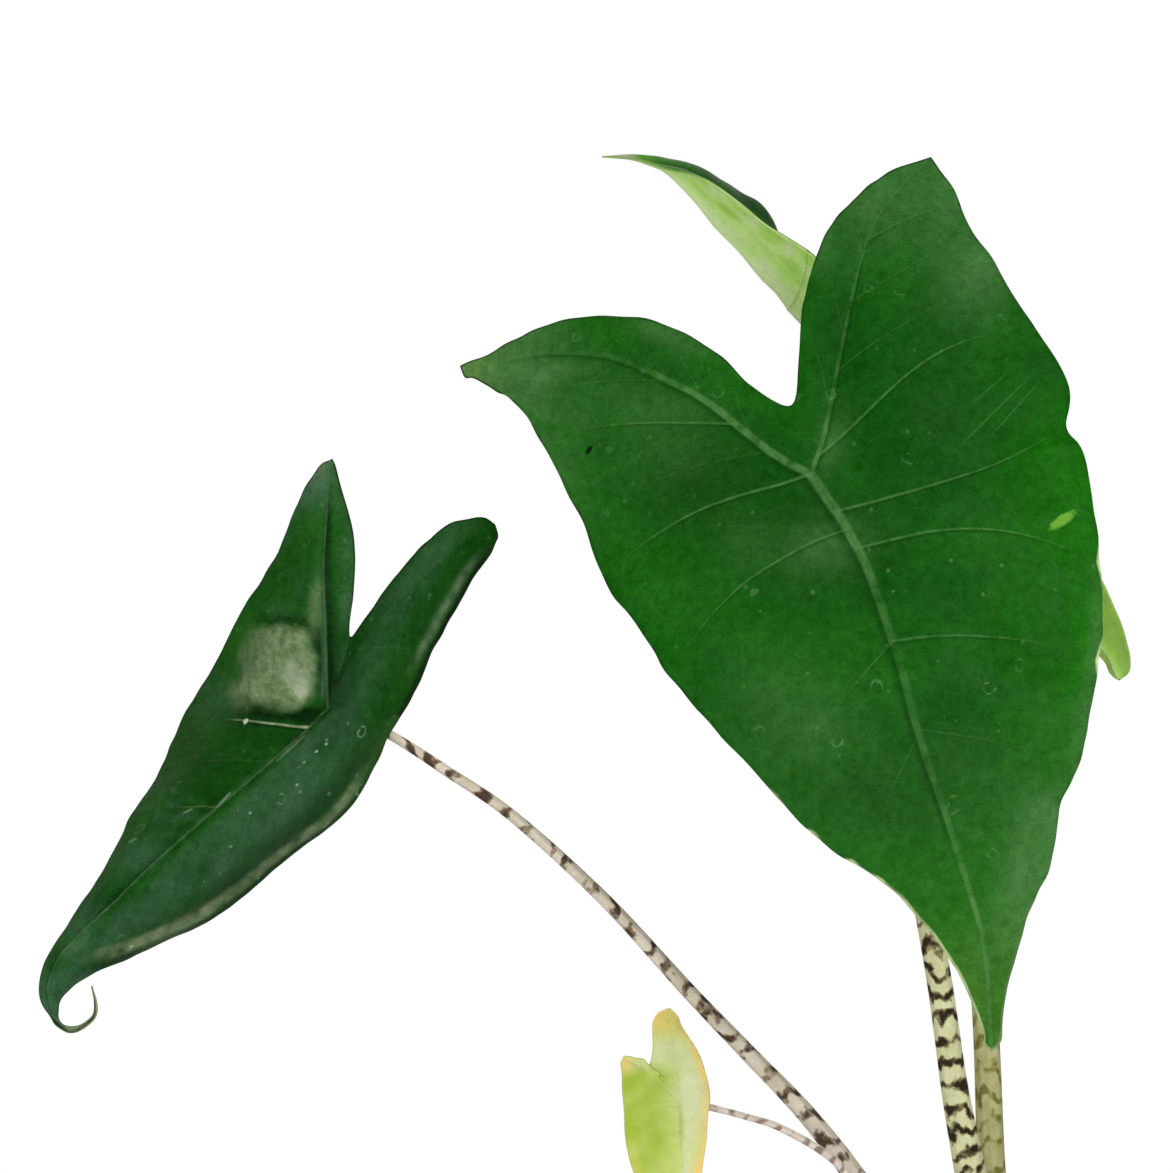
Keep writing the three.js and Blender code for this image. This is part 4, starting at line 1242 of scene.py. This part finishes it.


# Painted fields from 0 to 1, seen from the front, with places right of and above the joint. Some of them
# hold painted sheen, highlight and shade, as each function says. `under` is True for the lower face,
# which only the young leaf paints in another way

def large_leaf_paint(points, shape, under):
    """Fresh and, as a painted sheen, pale towards the margins, the lobes and the tip, with soft patches of
    painted sheen across the blade, and deep green in the middle.
    """
    right, up = points[:, 0], points[:, 2]
    edge_gap = shape["edge_gap"]
    margin = ramp(edge_gap, 20, 0)
    fresh = 0.8 * margin * ramp(right, 30, 80) * ramp(up, 40, 0) + 0.45 * ramp(up, -110, -150)
    fresh += 0.55 * ramp(right, 50, 90) * ramp(up, -120, -30) * ramp(up, 40, 0)
    fresh += 0.15 * margin * ramp(right, 20, -30)
    fresh += patches(points, [[0.2, -52, -48, 22, 30, 30], [0.35, 4, 10, 3, 6, -10]])
    # Painted sheen: pale grey-green where the satin surface would catch the light, on the lobes' tops, the
    # left lobe's tip, by the lower right margin and in soft patches
    pale = 0.55 * ramp(up, 62, 108) + 0.8 * ramp(right, -70, -122) + 0.12 * ramp(up, -60, -110)
    pale += 0.5 * ramp(edge_gap, 8, 1) * ramp(right, 60, 80) * ramp(up, -25, -55)
    pale += patches(points, [
        [0.5, 62, 70, 16, 16], [0.45, -52, 48, 18, 5, -22], [0.3, -95, 33, 18, 3.5, 8],
        [0.2, -52, 6, 20, 14], [0.15, -24, -25, 12, 12], [0.35, 3, 84, 5, 16],
        [0.4, 3, -27, 16, 10, 20], [0.25, -6, -83, 22, 14, -35], [0.5, 74, -127, 7, 20, -15],
        [0.25, -62, 24, 22, 9, -8], [0.4, 66, -150, 7, 24, -15], [0.4, 6, 8, 5, 12, -20],
    ])
    deep = (1 - margin) * patches(points, [
        [0.7, -6, -26, 46, 26, -30], [0.5, -40, -4, 26, 14, 15], [0.5, 22, -112, 22, 14, -35],
        [0.45, 38, 14, 22, 38, -20], [0.6, 14, 42, 10, 30, 8], [0.35, 38, -114, 9, 24, -20],
    ])
    deep += 0.25 * patch(points, 80, -8, 12, 26)
    rim_light = ramp(up, -100, -130) * (0.15 + 0.5 * ramp(right, 66, 50))
    rim_light += ramp(right, 80, 92) * ramp(up, -22, -36) * (0.1 + 0.9 * ramp(up, -84, -66))
    rib_fade = 0.75 * ramp(up, -22, -50) * ramp(up, -150, -105)
    rib_fade += 0.7 * ramp(right, -6, 0) * ramp(up, 10, 22) + ramp(right, -42, -66) * ramp(up, 18, 26)
    return {
        "fresh": fresh,
        "pale": pale,
        "warm": 0.1 * ramp(up, -140, -195) + 0.1 * ramp(right, -103, -125),
        "deep": deep,
        "spots": patch(points, 45, -50, 60, 55) + 0.35,
        "rim_light": rim_light,
        "rib_fade": rib_fade,
    }


def narrow_leaf_paint(points, shape, under):
    """A tan, wrinkled blister that is partly a painted glare, lightest at its lower right, a painted pale
    sheen on the folds, light stripes along the margins, a brown curled tip, and deep green that is partly
    painted shade in the grooves, the folds and under the blister."""
    right, up = points[:, 0], points[:, 2]
    v, station, panel, edge_gap = shape["v"], shape["station"], shape["panel"], shape["edge_gap"]
    _, far, across, high = blister(points)
    on_left = np.isin(panel, (0, 1))
    left_half, right_half = panel == 0, panel == 5
    mottle = 0.5 + 0.5 * waves(*points.T, 7, 31)
    coarse = 0.5 + 0.5 * waves(*points.T, 22, 32)
    # Painted sheen beside the midrib on the right half and along the right lobe's strap
    sheen = right_half * ramp(v, 0.02, 0.12) * ramp(v, 0.62, 0.38) * ramp(station, 7.5, 5)
    on_strap = np.isin(panel, (3, 4)) | ((panel == -1) & (right > 1) & (up > 1))
    strap_sheen = on_strap * bell(0.73 * right - 0.68 * up - 6 + 0.3 * up, 5.5) * ramp(station, 7, 5)
    rib_line = np.isin(panel, (-1, 1)) * bell(right + 2.4 - 0.02 * up, 1.2)
    rib_line = rib_line * ramp(up, 1, 6) * ramp(up, 44, 34)
    stripe = (panel == 4) * bell(edge_gap - 7.3, 2.3) * ramp(v, 0.35, 0.55)
    stripe = stripe * ramp(up, 2, 14) * ramp(up, 58, 48)

    # pale is mostly painted sheen: beside the midrib, along the strap, on the left lobe's inner strip and in
    # patches; it also gives the light line beside the left lobe's rib and part of the light stripe by the
    # right lobe's margin
    pale = 0.5 * sheen * (0.6 + 0.6 * coarse) + 1.1 * ramp(up, 66, 84) * ramp(right, 4, -5)
    pale += 0.35 * strap_sheen * (0.7 + 0.5 * coarse) + 0.35 * right_half * patch(points, -3, -27, 18, 9, 50)
    pale += 0.8 * ramp(up, -82, -94) * ramp(right, -78, -86)
    pale += 0.35 * (panel == 1) * ramp(up, 66, 80) * ramp(v, 0.3, 0.7)
    pale += 0.35 * (panel == 2) * coarse * ramp(v, 0.3, 0.6) + 0.12 * left_half * ramp(v, 0.5, 1) * coarse
    pale += 0.5 * left_half * patch(points, -56.6, -35.5, 13, 6, -20) * mottle
    pale += 0.7 * left_half * ramp(v, 0.06, 0.02) * ramp(station, 0.5, 1.5) * (0.4 + 0.6 * mottle)
    pale += 0.8 * rib_line + 0.8 * stripe * ramp(up, 8, 18)
    pale += patches(points, [
        [0.35, -37, -58, 14, 7, 35], [0.3, -18, -39, 12, 7, 45], [0.7, -66, -50, 9, 5, 30],
        [0.6, -85, -73, 10, 5, 55], [0.25, -12.5, 44, 3, 7], [0.25, -20, 34, 7, 3],
        [0.4, -18, 66, 3, 14, -20], [0.4, -5, 42, 2.4, 9], [0.35, -46, 1, 8, 7],
    ])

    wrinkles = waves(*(points * (1, 1, 1.6)).T, 4.5, 44)
    # The blister's tan top is partly a painted glare: it is painted lighter towards its lower right, where
    # the light falls, and broken by wrinkles and mottling
    lit = 0.56 + 0.08 * mottle + 0.14 * wrinkles + 0.12 * patch(points, -10, 8, 9, 10, 40)
    warm = on_left * ramp(far, 1.14, 0.9) * lit * (0.45 + 0.55 * ramp(across - 0.35 * high, -1.15, -0.1))
    warm += on_left * 0.5 * patch(points, -34, 2.5, 6, 5, 20, 1.5) * (0.6 + 0.4 * mottle)
    warm += on_left * 0.35 * patch(points, -5.6, 36, 2.6, 9, -6, 1.2)
    warm += 0.2 * ramp(up, 76, 88) * ramp(right, 3, -6)
    warm += 0.25 * right_half * patch(points, -55, -79, 15, 3.5, 28)
    lower_margin = right_half * ramp(edge_gap, 12, 8.5) * ramp(edge_gap, 3, 5.5) * ramp(station, 0.6, 1.6)
    warm += lower_margin * (0.15 + 0.35 * mottle + 0.25 * coarse) * ramp(station, 6, 4.8)
    warm += 1.2 * ramp(shape["along"], 0.66, 0.76) * np.isin(panel, (-1, 0, 5)) * ramp(up, -85, -95)
    warm += 0.4 * stripe * (0.3 + 0.7 * mottle) * ramp(up, 10, 20) * ramp(up, 54, 42)

    fresh = 0.9 * stripe * (0.5 + 0.5 * mottle) + 0.3 * left_half * ramp(v, 0.4, 0.8)
    fresh += 0.5 * right_half * ramp(edge_gap, 9, 5) * ramp(station, 2.5, 0.5) + 0.2 * (panel == 1) * coarse

    # The deep green is partly painted shade: in the groove along the right half, in the ring round the
    # blister, in the shadow under the blister, in the valley beside the left lobe's rib and in the folds
    # along the midrib; elsewhere it darkens the margins and loose patches
    groove = right_half * bell(v - 0.7, 0.1) * ramp(station, 0.2, 1)
    ring = on_left * bell(far - 1.2, 0.1) * ramp(across + high, 0.2, 1.2)
    below = on_left * patches(points, [[1.1, -16, -3.4, 14, 1.4], [0.88, -7, -1.5, 6, 2.4]])
    deep = 0.6 * groove + 1.1 * ring + below + 0.9 * (panel == 2) * ramp(v, 0.45, 0.1)
    deep += (panel == 4) * ramp(edge_gap, 4.5, 2.5) * ramp(v, 0.4, 0.6) * ramp(up, 58, 50)
    deep += 0.8 * right_half * ramp(edge_gap, 3.5, 2) * ramp(station, 7, 5)
    deep += 0.4 * left_half * (1 - coarse) + 0.5 * left_half * ramp(v, 0.2, 0.06) * ramp(station, 1, 3)
    deep += 0.5 * right_half * ramp(v, 0.08, 0.0) * ramp(station, 5, 3)
    deep += patches(points, [
        [0.6, 4, 12, 8, 18], [0.6, -7, -12, 10, 8], [0.35, 22, 40, 20, 5, 50],
        [0.6, 4, -4, 5, 10], [0.3, -25, 49, 14, 5, 60],
    ])
    return {"fresh": fresh, "pale": pale, "warm": warm, "deep": deep, "spots": 0.3 + 0.7 * right_half}


def young_leaf_paint(points, shape, under):
    """A fresh end and a thin pale edge; the lower face is also pale along its ribs."""
    right, up = points[:, 0], points[:, 2]
    v, along, edge_gap = shape["v"], shape["along"], shape["edge_gap"]
    clouds = 0.5 + 0.5 * waves(*points.T, 14, 33)
    if under:
        fresh = 0.5 * clouds + ramp(along, 0.55, 0.85) + 0.5 * ramp(v, 0.5, 0.9) + ramp(right, 5, 30)
        pale = 0.9 * ramp(v, 0.32, 0.0) + ramp(edge_gap, 1.6, 0.4) + 0.5 * clouds * ramp(up, 50, 80)
        pale = pale * ramp(right, 20, -5) + patches(points, [
            [1.1, -73.3, 104, 1.6, 3, 10, 1.5],
            [1.1, -88, 116, 2, 2.2, 10, 1.5],
            [1.1, -60, 93, 1.2, 2.2, 10, 1.5],
        ])
        deep = 0.6 * (1 - clouds) * ramp(v, 0.15, 0.5)
    else:
        fresh = 0.12 * clouds + ramp(along, 0.6, 0.9)
        pale = 0.3 * ramp(edge_gap, 1.0, 0.3)
        deep = 0.5 * ramp(along, 0.78, 0.64)
    return {"fresh": fresh, "pale": pale, "warm": ramp(right, -116, -123), "deep": deep}


def old_leaf_paint(points, shape, under):
    """Yellow lobes and right margin, greener on the left, a pale band across the lobes, a painted pale
    sheen right of the midrib, and a dark line of painted shade in the midrib's fold below the joint.
    """
    right, up = points[:, 0], points[:, 2]
    clouds = 0.5 + 0.5 * waves(*points.T, 9, 35)
    margin = ramp(shape["edge_gap"], 5.5, 0)
    warm = margin * ramp(right, -4, 7) * (0.5 + 0.5 * clouds) + ramp(up, 19, 30) * 0.85
    warm += 0.7 * ramp(right, -15, -21) * ramp(up, 6, 13) + 0.5 * margin * ramp(up, -10, -30)
    fresh = ramp(right, 1, -10) * ramp(up, 17, 6) * (0.6 + 0.4 * clouds)
    # Painted sheen on the right half below the lobes and beside the joint, then a pale band across the lobes
    pale = patch(points, 5, 2, 7, 9) + 0.8 * ramp(right, -1, 3) * ramp(up, 16, 6) * (0.6 + 0.4 * clouds)
    pale += 0.6 * ramp(up, 8, 16) * ramp(up, 26, 19)
    # A dark line of painted shade in the midrib's fold just below the joint
    deep = 0.8 * patch(points, 0.6, -7, 0.9, 7) + 0.35 * patch(points, -9, -8, 3, 8) * clouds
    return {"fresh": fresh, "pale": pale, "warm": warm, "deep": deep,
            "rim_light": ramp(right, 0, 6) + ramp(up, 19, 30)}


# Colours, each from 0 to 255 as a screen shows them. A mark is explained in mark_share

LARGE_FINISH = {
    "roughness": 0.46, "specular": 0.035, "grain": 0.85, "glint": 0.008, "uneven": 0.8, "vein_shade": 0.45,
    "dark": (15, 77, 10), "light": (26, 90, 17), "deep": (8, 64, 6), "fresh": (20, 100, 2),
    # pale is the colour of the painted sheen
    "pale": (70, 117, 60), "warm": (150, 168, 84),
    "vein": (92, 142, 78), "vein_show": 0.6, "rib": (80, 128, 68), "rib_show": 0.8,
    "shade": (4, 40, 4), "rib_shade": 0.45, "spot": (92, 138, 84),
    "edge": (14, 48, 12), "edge_width": 0.8, "edge_light": (214, 238, 170),
    "under": (110, 148, 84), "under_light": (124, 160, 96), "under_deep": (96, 136, 74),
    "under_fresh": (130, 166, 92), "under_pale": (140, 170, 116), "under_warm": (160, 168, 100),
    "under_vein": (150, 178, 112), "under_rib": (170, 190, 130),
    "marks": [
        [-81.1, 5.6, 2.1, 1.0, 50, (10, 24, 8), 0.95],
        [89.0, -18.4, 5.8, 1.9, 32, (108, 168, 54), 0.85],
        [65.2, 19.6, 19, 0.45, 43, (84, 140, 70), 0.2],
        [73.6, 21.4, 14, 0.4, 47, (84, 140, 70), 0.2],
        [64.7, 28.8, 9, 0.4, 40, (84, 140, 70), 0.16],
    ],
}
NARROW_FINISH = {
    "roughness": 0.4, "specular": 0.06, "grain": 0.95, "glint": 0.01, "uneven": 0.4, "vein_shade": 0.75,
    "dark": (12, 66, 6), "light": (22, 80, 14), "deep": (3, 36, 2), "fresh": (52, 100, 30),
    # pale is the colour of the painted sheen
    "pale": (62, 98, 68), "warm": (132, 150, 110),
    "vein": (166, 182, 140), "vein_show": 0.9, "rib": (74, 106, 64), "rib_show": 0.5,
    "shade": (6, 34, 6), "rib_shade": 0.35, "spot": (124, 154, 120),
    "edge": (12, 30, 10), "edge_width": 0.8, "edge_light": (120, 140, 96),
    "under": (116, 140, 96), "under_light": (130, 152, 106), "under_deep": (96, 118, 78),
    "under_fresh": (116, 140, 86), "under_pale": (120, 140, 104), "under_warm": (150, 134, 100),
    "under_vein": (140, 158, 112), "under_rib": (140, 158, 112),
    "marks": [
        # The first two marks are a painted highlight on the blister's lower right
        [-12.6, 10.5, 7.5, 4.2, -62, (168, 174, 150), 0.38],
        [-10.4, 5.6, 3.2, 2.4, -40, (176, 180, 158), 0.42],
        [-31.4, -6.2, 1.2, 0.8, 40, (206, 214, 182), 0.8],
        [-13.1, -13.8, 8.5, 0.6, 41, (96, 128, 92), 0.5],
        [-4.4, -16.1, 0.7, 0.5, 30, (170, 190, 170), 0.7],
        [-0.9, -13.6, 0.6, 0.5, 60, (170, 190, 170), 0.6],
        [-8.8, -19.7, 0.7, 0.5, 20, (140, 166, 140), 0.5],
        [-11.4, -28.1, 0.7, 0.5, 50, (160, 182, 160), 0.6],
        [-10.5, -31, 0.6, 0.5, 0, (140, 166, 140), 0.5],
        [-27.6, -36.8, 0.7, 0.5, 40, (150, 176, 150), 0.6],
        [-34.6, -49, 0.7, 0.5, 0, (140, 166, 140), 0.5],
        [-49.5, -35.1, 2.2, 0.4, 25, (130, 156, 124), 0.45],
        [-36.4, -30.9, 4.0, 0.4, 46, (130, 156, 124), 0.5],
        [-69.7, -45.9, 2.0, 0.4, 30, (120, 148, 112), 0.45],
        [-69.2, -82.9, 0.7, 0.6, 0, (180, 196, 170), 0.6],
    ],
}
YOUNG_FINISH = {
    "roughness": 0.5, "specular": 0.02, "grain": 0.3, "glint": 0.004, "uneven": 0.6, "vein_shade": 0.5,
    "dark": (16, 66, 8), "light": (28, 84, 14), "deep": (6, 46, 4), "fresh": (86, 148, 52),
    "pale": (150, 196, 110), "warm": (190, 176, 150),
    "vein": (110, 160, 80), "vein_show": 0.5, "rib": (110, 160, 80), "rib_show": 0.5,
    "shade": (20, 60, 16), "rib_shade": 0.3, "spot": (120, 160, 100),
    "edge": (110, 160, 76), "edge_width": 0.5, "edge_light": (190, 220, 150),
    "under": (182, 226, 112), "under_light": (192, 234, 124), "under_deep": (158, 204, 86),
    "under_fresh": (192, 244, 108), "under_pale": (214, 236, 168), "under_warm": (214, 200, 176),
    "under_vein": (140, 176, 76), "under_rib": (208, 228, 170),
}
OLD_FINISH = {
    "roughness": 0.55, "specular": 0.06, "grain": 0.22, "glint": 0.004, "uneven": 0.6, "vein_shade": 0.3,
    "dark": (186, 203, 108), "light": (194, 209, 120), "deep": (128, 140, 72), "fresh": (158, 182, 62),
    "pale": (214, 218, 172), "warm": (236, 204, 112),
    "vein": (210, 218, 150), "vein_show": 0.25, "rib": (206, 214, 150), "rib_show": 0.25,
    "shade": (150, 168, 76), "rib_shade": 0.2, "spot": (190, 182, 116),
    "edge": (190, 200, 110), "edge_width": 0.6, "edge_light": (240, 210, 130),
    "under": (190, 208, 112), "under_light": (202, 216, 128), "under_deep": (170, 188, 96),
    "under_fresh": (176, 200, 96), "under_pale": (220, 226, 170), "under_warm": (230, 204, 112),
    "under_vein": (220, 228, 164), "under_rib": (220, 228, 164),
}
LARGE_STALK_FINISH = {
    "pale": (214, 214, 168), "shade": (192, 194, 146), "band": (38, 28, 6), "band_edge": (110, 92, 48),
    "foot": (150, 140, 100), "spacing": 9.2, "level": 0.16, "show": 1.0,
}
NARROW_STALK_FINISH = {
    "pale": (224, 213, 194), "shade": (204, 192, 170), "band": (76, 56, 38), "band_edge": (138, 116, 94),
    "foot": (150, 132, 104), "spacing": 11, "level": 0.34, "show": 1.0,
}
YOUNG_STALK_FINISH = {
    "pale": (186, 184, 132), "shade": (160, 160, 102), "band": (102, 98, 26), "band_edge": (136, 132, 60),
    "foot": (140, 130, 84), "spacing": 10, "level": 0.35, "show": 0.8,
}
OLD_STALK_FINISH = {
    "pale": (226, 214, 202), "shade": (206, 192, 178), "band": (120, 98, 86), "band_edge": (170, 150, 136),
    "foot": (160, 146, 118), "spacing": 6, "level": 0.3, "show": 0.75,
}

# The dark and the light colour of each soil material, in linear values
SOIL_COLOURS = {
    "bark_mix": ((0.012, 0.008, 0.005, 1), (0.05, 0.032, 0.02, 1)),
    "soil_crumb": ((0.02, 0.013, 0.008, 1), (0.08, 0.05, 0.03, 1)),
    "bark_chip": ((0.05, 0.028, 0.016, 1), (0.17, 0.09, 0.05, 1)),
    "perlite": ((0.55, 0.53, 0.5, 1), (0.75, 0.74, 0.7, 1)),
}


# Build

def add_leaf(name, leaf, stem, per_station, rings, relief, paint, finish, stalk_finish, swelling):
    """A blade and its stalk."""
    detail = 1.0
    per_station = max(4, int(per_station * detail) // 4 * 4)
    points, triangles, attributes = blade_surface(leaf, per_station, int(rings * detail), relief, paint)
    blade = make_piece(f"{name}_blade_surface", points, triangles, f"{name}_blade", attributes=attributes)
    blade.data.materials.append(leaf_material(f"{name}_blade", finish, leaf["joint"]))
    points, triangles, attributes = stem_surface(stem, swelling)
    stalk = make_piece(f"{name}_petiole_surface", points, triangles, f"{name}_petiole", attributes=attributes)
    stalk.data.materials.append(stalk_material(f"{name}_petiole", stalk_finish))


add_leaf("large_leaf", LARGE_LEAF, LARGE_STEM, 16, 50, large_leaf_relief, large_leaf_paint,
         LARGE_FINISH, LARGE_STALK_FINISH, JOINT_SWELLING)
add_leaf("narrow_leaf", NARROW_LEAF, NARROW_STEM, 16, 44, narrow_leaf_relief, narrow_leaf_paint,
         NARROW_FINISH, NARROW_STALK_FINISH, 0.0)
add_leaf("young_leaf", YOUNG_LEAF, YOUNG_STEM, 20, 36, young_leaf_relief, young_leaf_paint,
         YOUNG_FINISH, YOUNG_STALK_FINISH, JOINT_SWELLING)
add_leaf("old_leaf", OLD_LEAF, OLD_STEM, 16, 26, old_leaf_relief, old_leaf_paint,
         OLD_FINISH, OLD_STALK_FINISH, JOINT_SWELLING)

points, triangles = turned_surface(pot_profile(), POT_SEGMENTS)
pot = make_piece("pot_surface", points, triangles, "pot")
pot.data.materials.append(pot_material())

points, triangles = soil_surface()
soil = make_piece("soil_surface", points, triangles, "potting_soil")
soil.data.materials.append(soil_material("bark_mix", *SOIL_COLOURS["bark_mix"]))

loose_materials = {"soil_crumbs": "soil_crumb", "bark_chips": "bark_chip", "perlite_grains": "perlite"}
for name, material in loose_materials.items():
    points, triangles, attributes = scattered(**LOOSE_PIECES[name])
    loose = make_piece(name, points, triangles, attributes=attributes)
    loose.data.materials.append(soil_material(material, *SOIL_COLOURS[material]))


# Stage, light and camera

def add_stage():
    """A pale floor disc that fades out into a plain white surround, which only the camera sees."""
    bpy.ops.mesh.primitive_circle_add(vertices=128, radius=FLOOR_RADIUS, fill_type="NGON")
    floor = bpy.context.object
    floor.name = "floor"
    material, tree, shader = new_material("pale_floor", 0.7, 0.3)
    shader.inputs["Base Color"].default_value = (0.82, 0.82, 0.82, 1)
    fade = vector_length(object_place(tree)).between(FLOOR_FADE_START, FLOOR_FADE_END)
    clear = add_node(tree, "BsdfTransparent", {})
    blend = add_node(tree, "MixShader", {0: fade, 1: Wire(tree, shader.outputs[0]), 2: clear})
    tree.links.new(blend.socket, tree.nodes["Material Output"].inputs["Surface"])
    floor.data.materials.append(material)

    bpy.ops.mesh.primitive_uv_sphere_add(segments=48, ring_count=24, radius=BACKDROP_RADIUS)
    surround = bpy.context.object
    surround.name = "white_surround"
    white = bpy.data.materials.new("white_surround")
    white.use_nodes = True
    tree = white.node_tree
    tree.nodes.clear()
    glow = add_node(tree, "Emission", {"Color": (1, 1, 1, 1), "Strength": 1.0})
    output = tree.nodes.new("ShaderNodeOutputMaterial")
    tree.links.new(glow.socket, output.inputs["Surface"])
    surround.data.materials.append(white)
    for ray in ("visible_diffuse", "visible_glossy", "visible_transmission", "visible_volume_scatter",
                "visible_shadow"):
        setattr(surround, ray, False)


def add_light(name, place, target, size, power, colour):
    """A square lamp at a place, turned towards its target."""
    data = bpy.data.lights.new(name, "AREA")
    data.size = size
    data.energy = power
    data.color = colour
    lamp = bpy.data.objects.new(name, data)
    lamp.location = place
    lamp.rotation_euler = (Vector(target) - Vector(place)).to_track_quat("-Z", "Y").to_euler()
    bpy.context.scene.collection.objects.link(lamp)


def add_world():
    """A weak, even, slightly cool light from all sides."""
    world = bpy.data.worlds.new("soft_studio")
    bpy.context.scene.world = world
    world.use_nodes = True
    world.node_tree.nodes["Background"].inputs["Color"].default_value = WORLD_COLOUR
    world.node_tree.nodes["Background"].inputs["Strength"].default_value = WORLD_STRENGTH


def add_camera():
    """Looks along +Y and a little down at the target, from in front of it."""
    data = bpy.data.cameras.new("camera")
    data.sensor_width = SENSOR
    data.lens = SENSOR * CAMERA_DISTANCE / FRAME_WIDTH
    data.clip_end = 100
    camera = bpy.data.objects.new("camera", data)
    towards = Vector((0, math.cos(CAMERA_ELEVATION), -math.sin(CAMERA_ELEVATION)))
    camera.location = Vector(CAMERA_TARGET) - CAMERA_DISTANCE * towards
    camera.rotation_euler = (math.pi / 2 - CAMERA_ELEVATION, 0, 0)
    bpy.context.scene.collection.objects.link(camera)
    bpy.context.scene.camera = camera


add_stage()
for light in LIGHTS:
    add_light(*light)
add_world()
add_camera()
bpy.context.scene.view_settings.view_transform = "Standard"
bpy.context.scene.view_settings.look = "None"
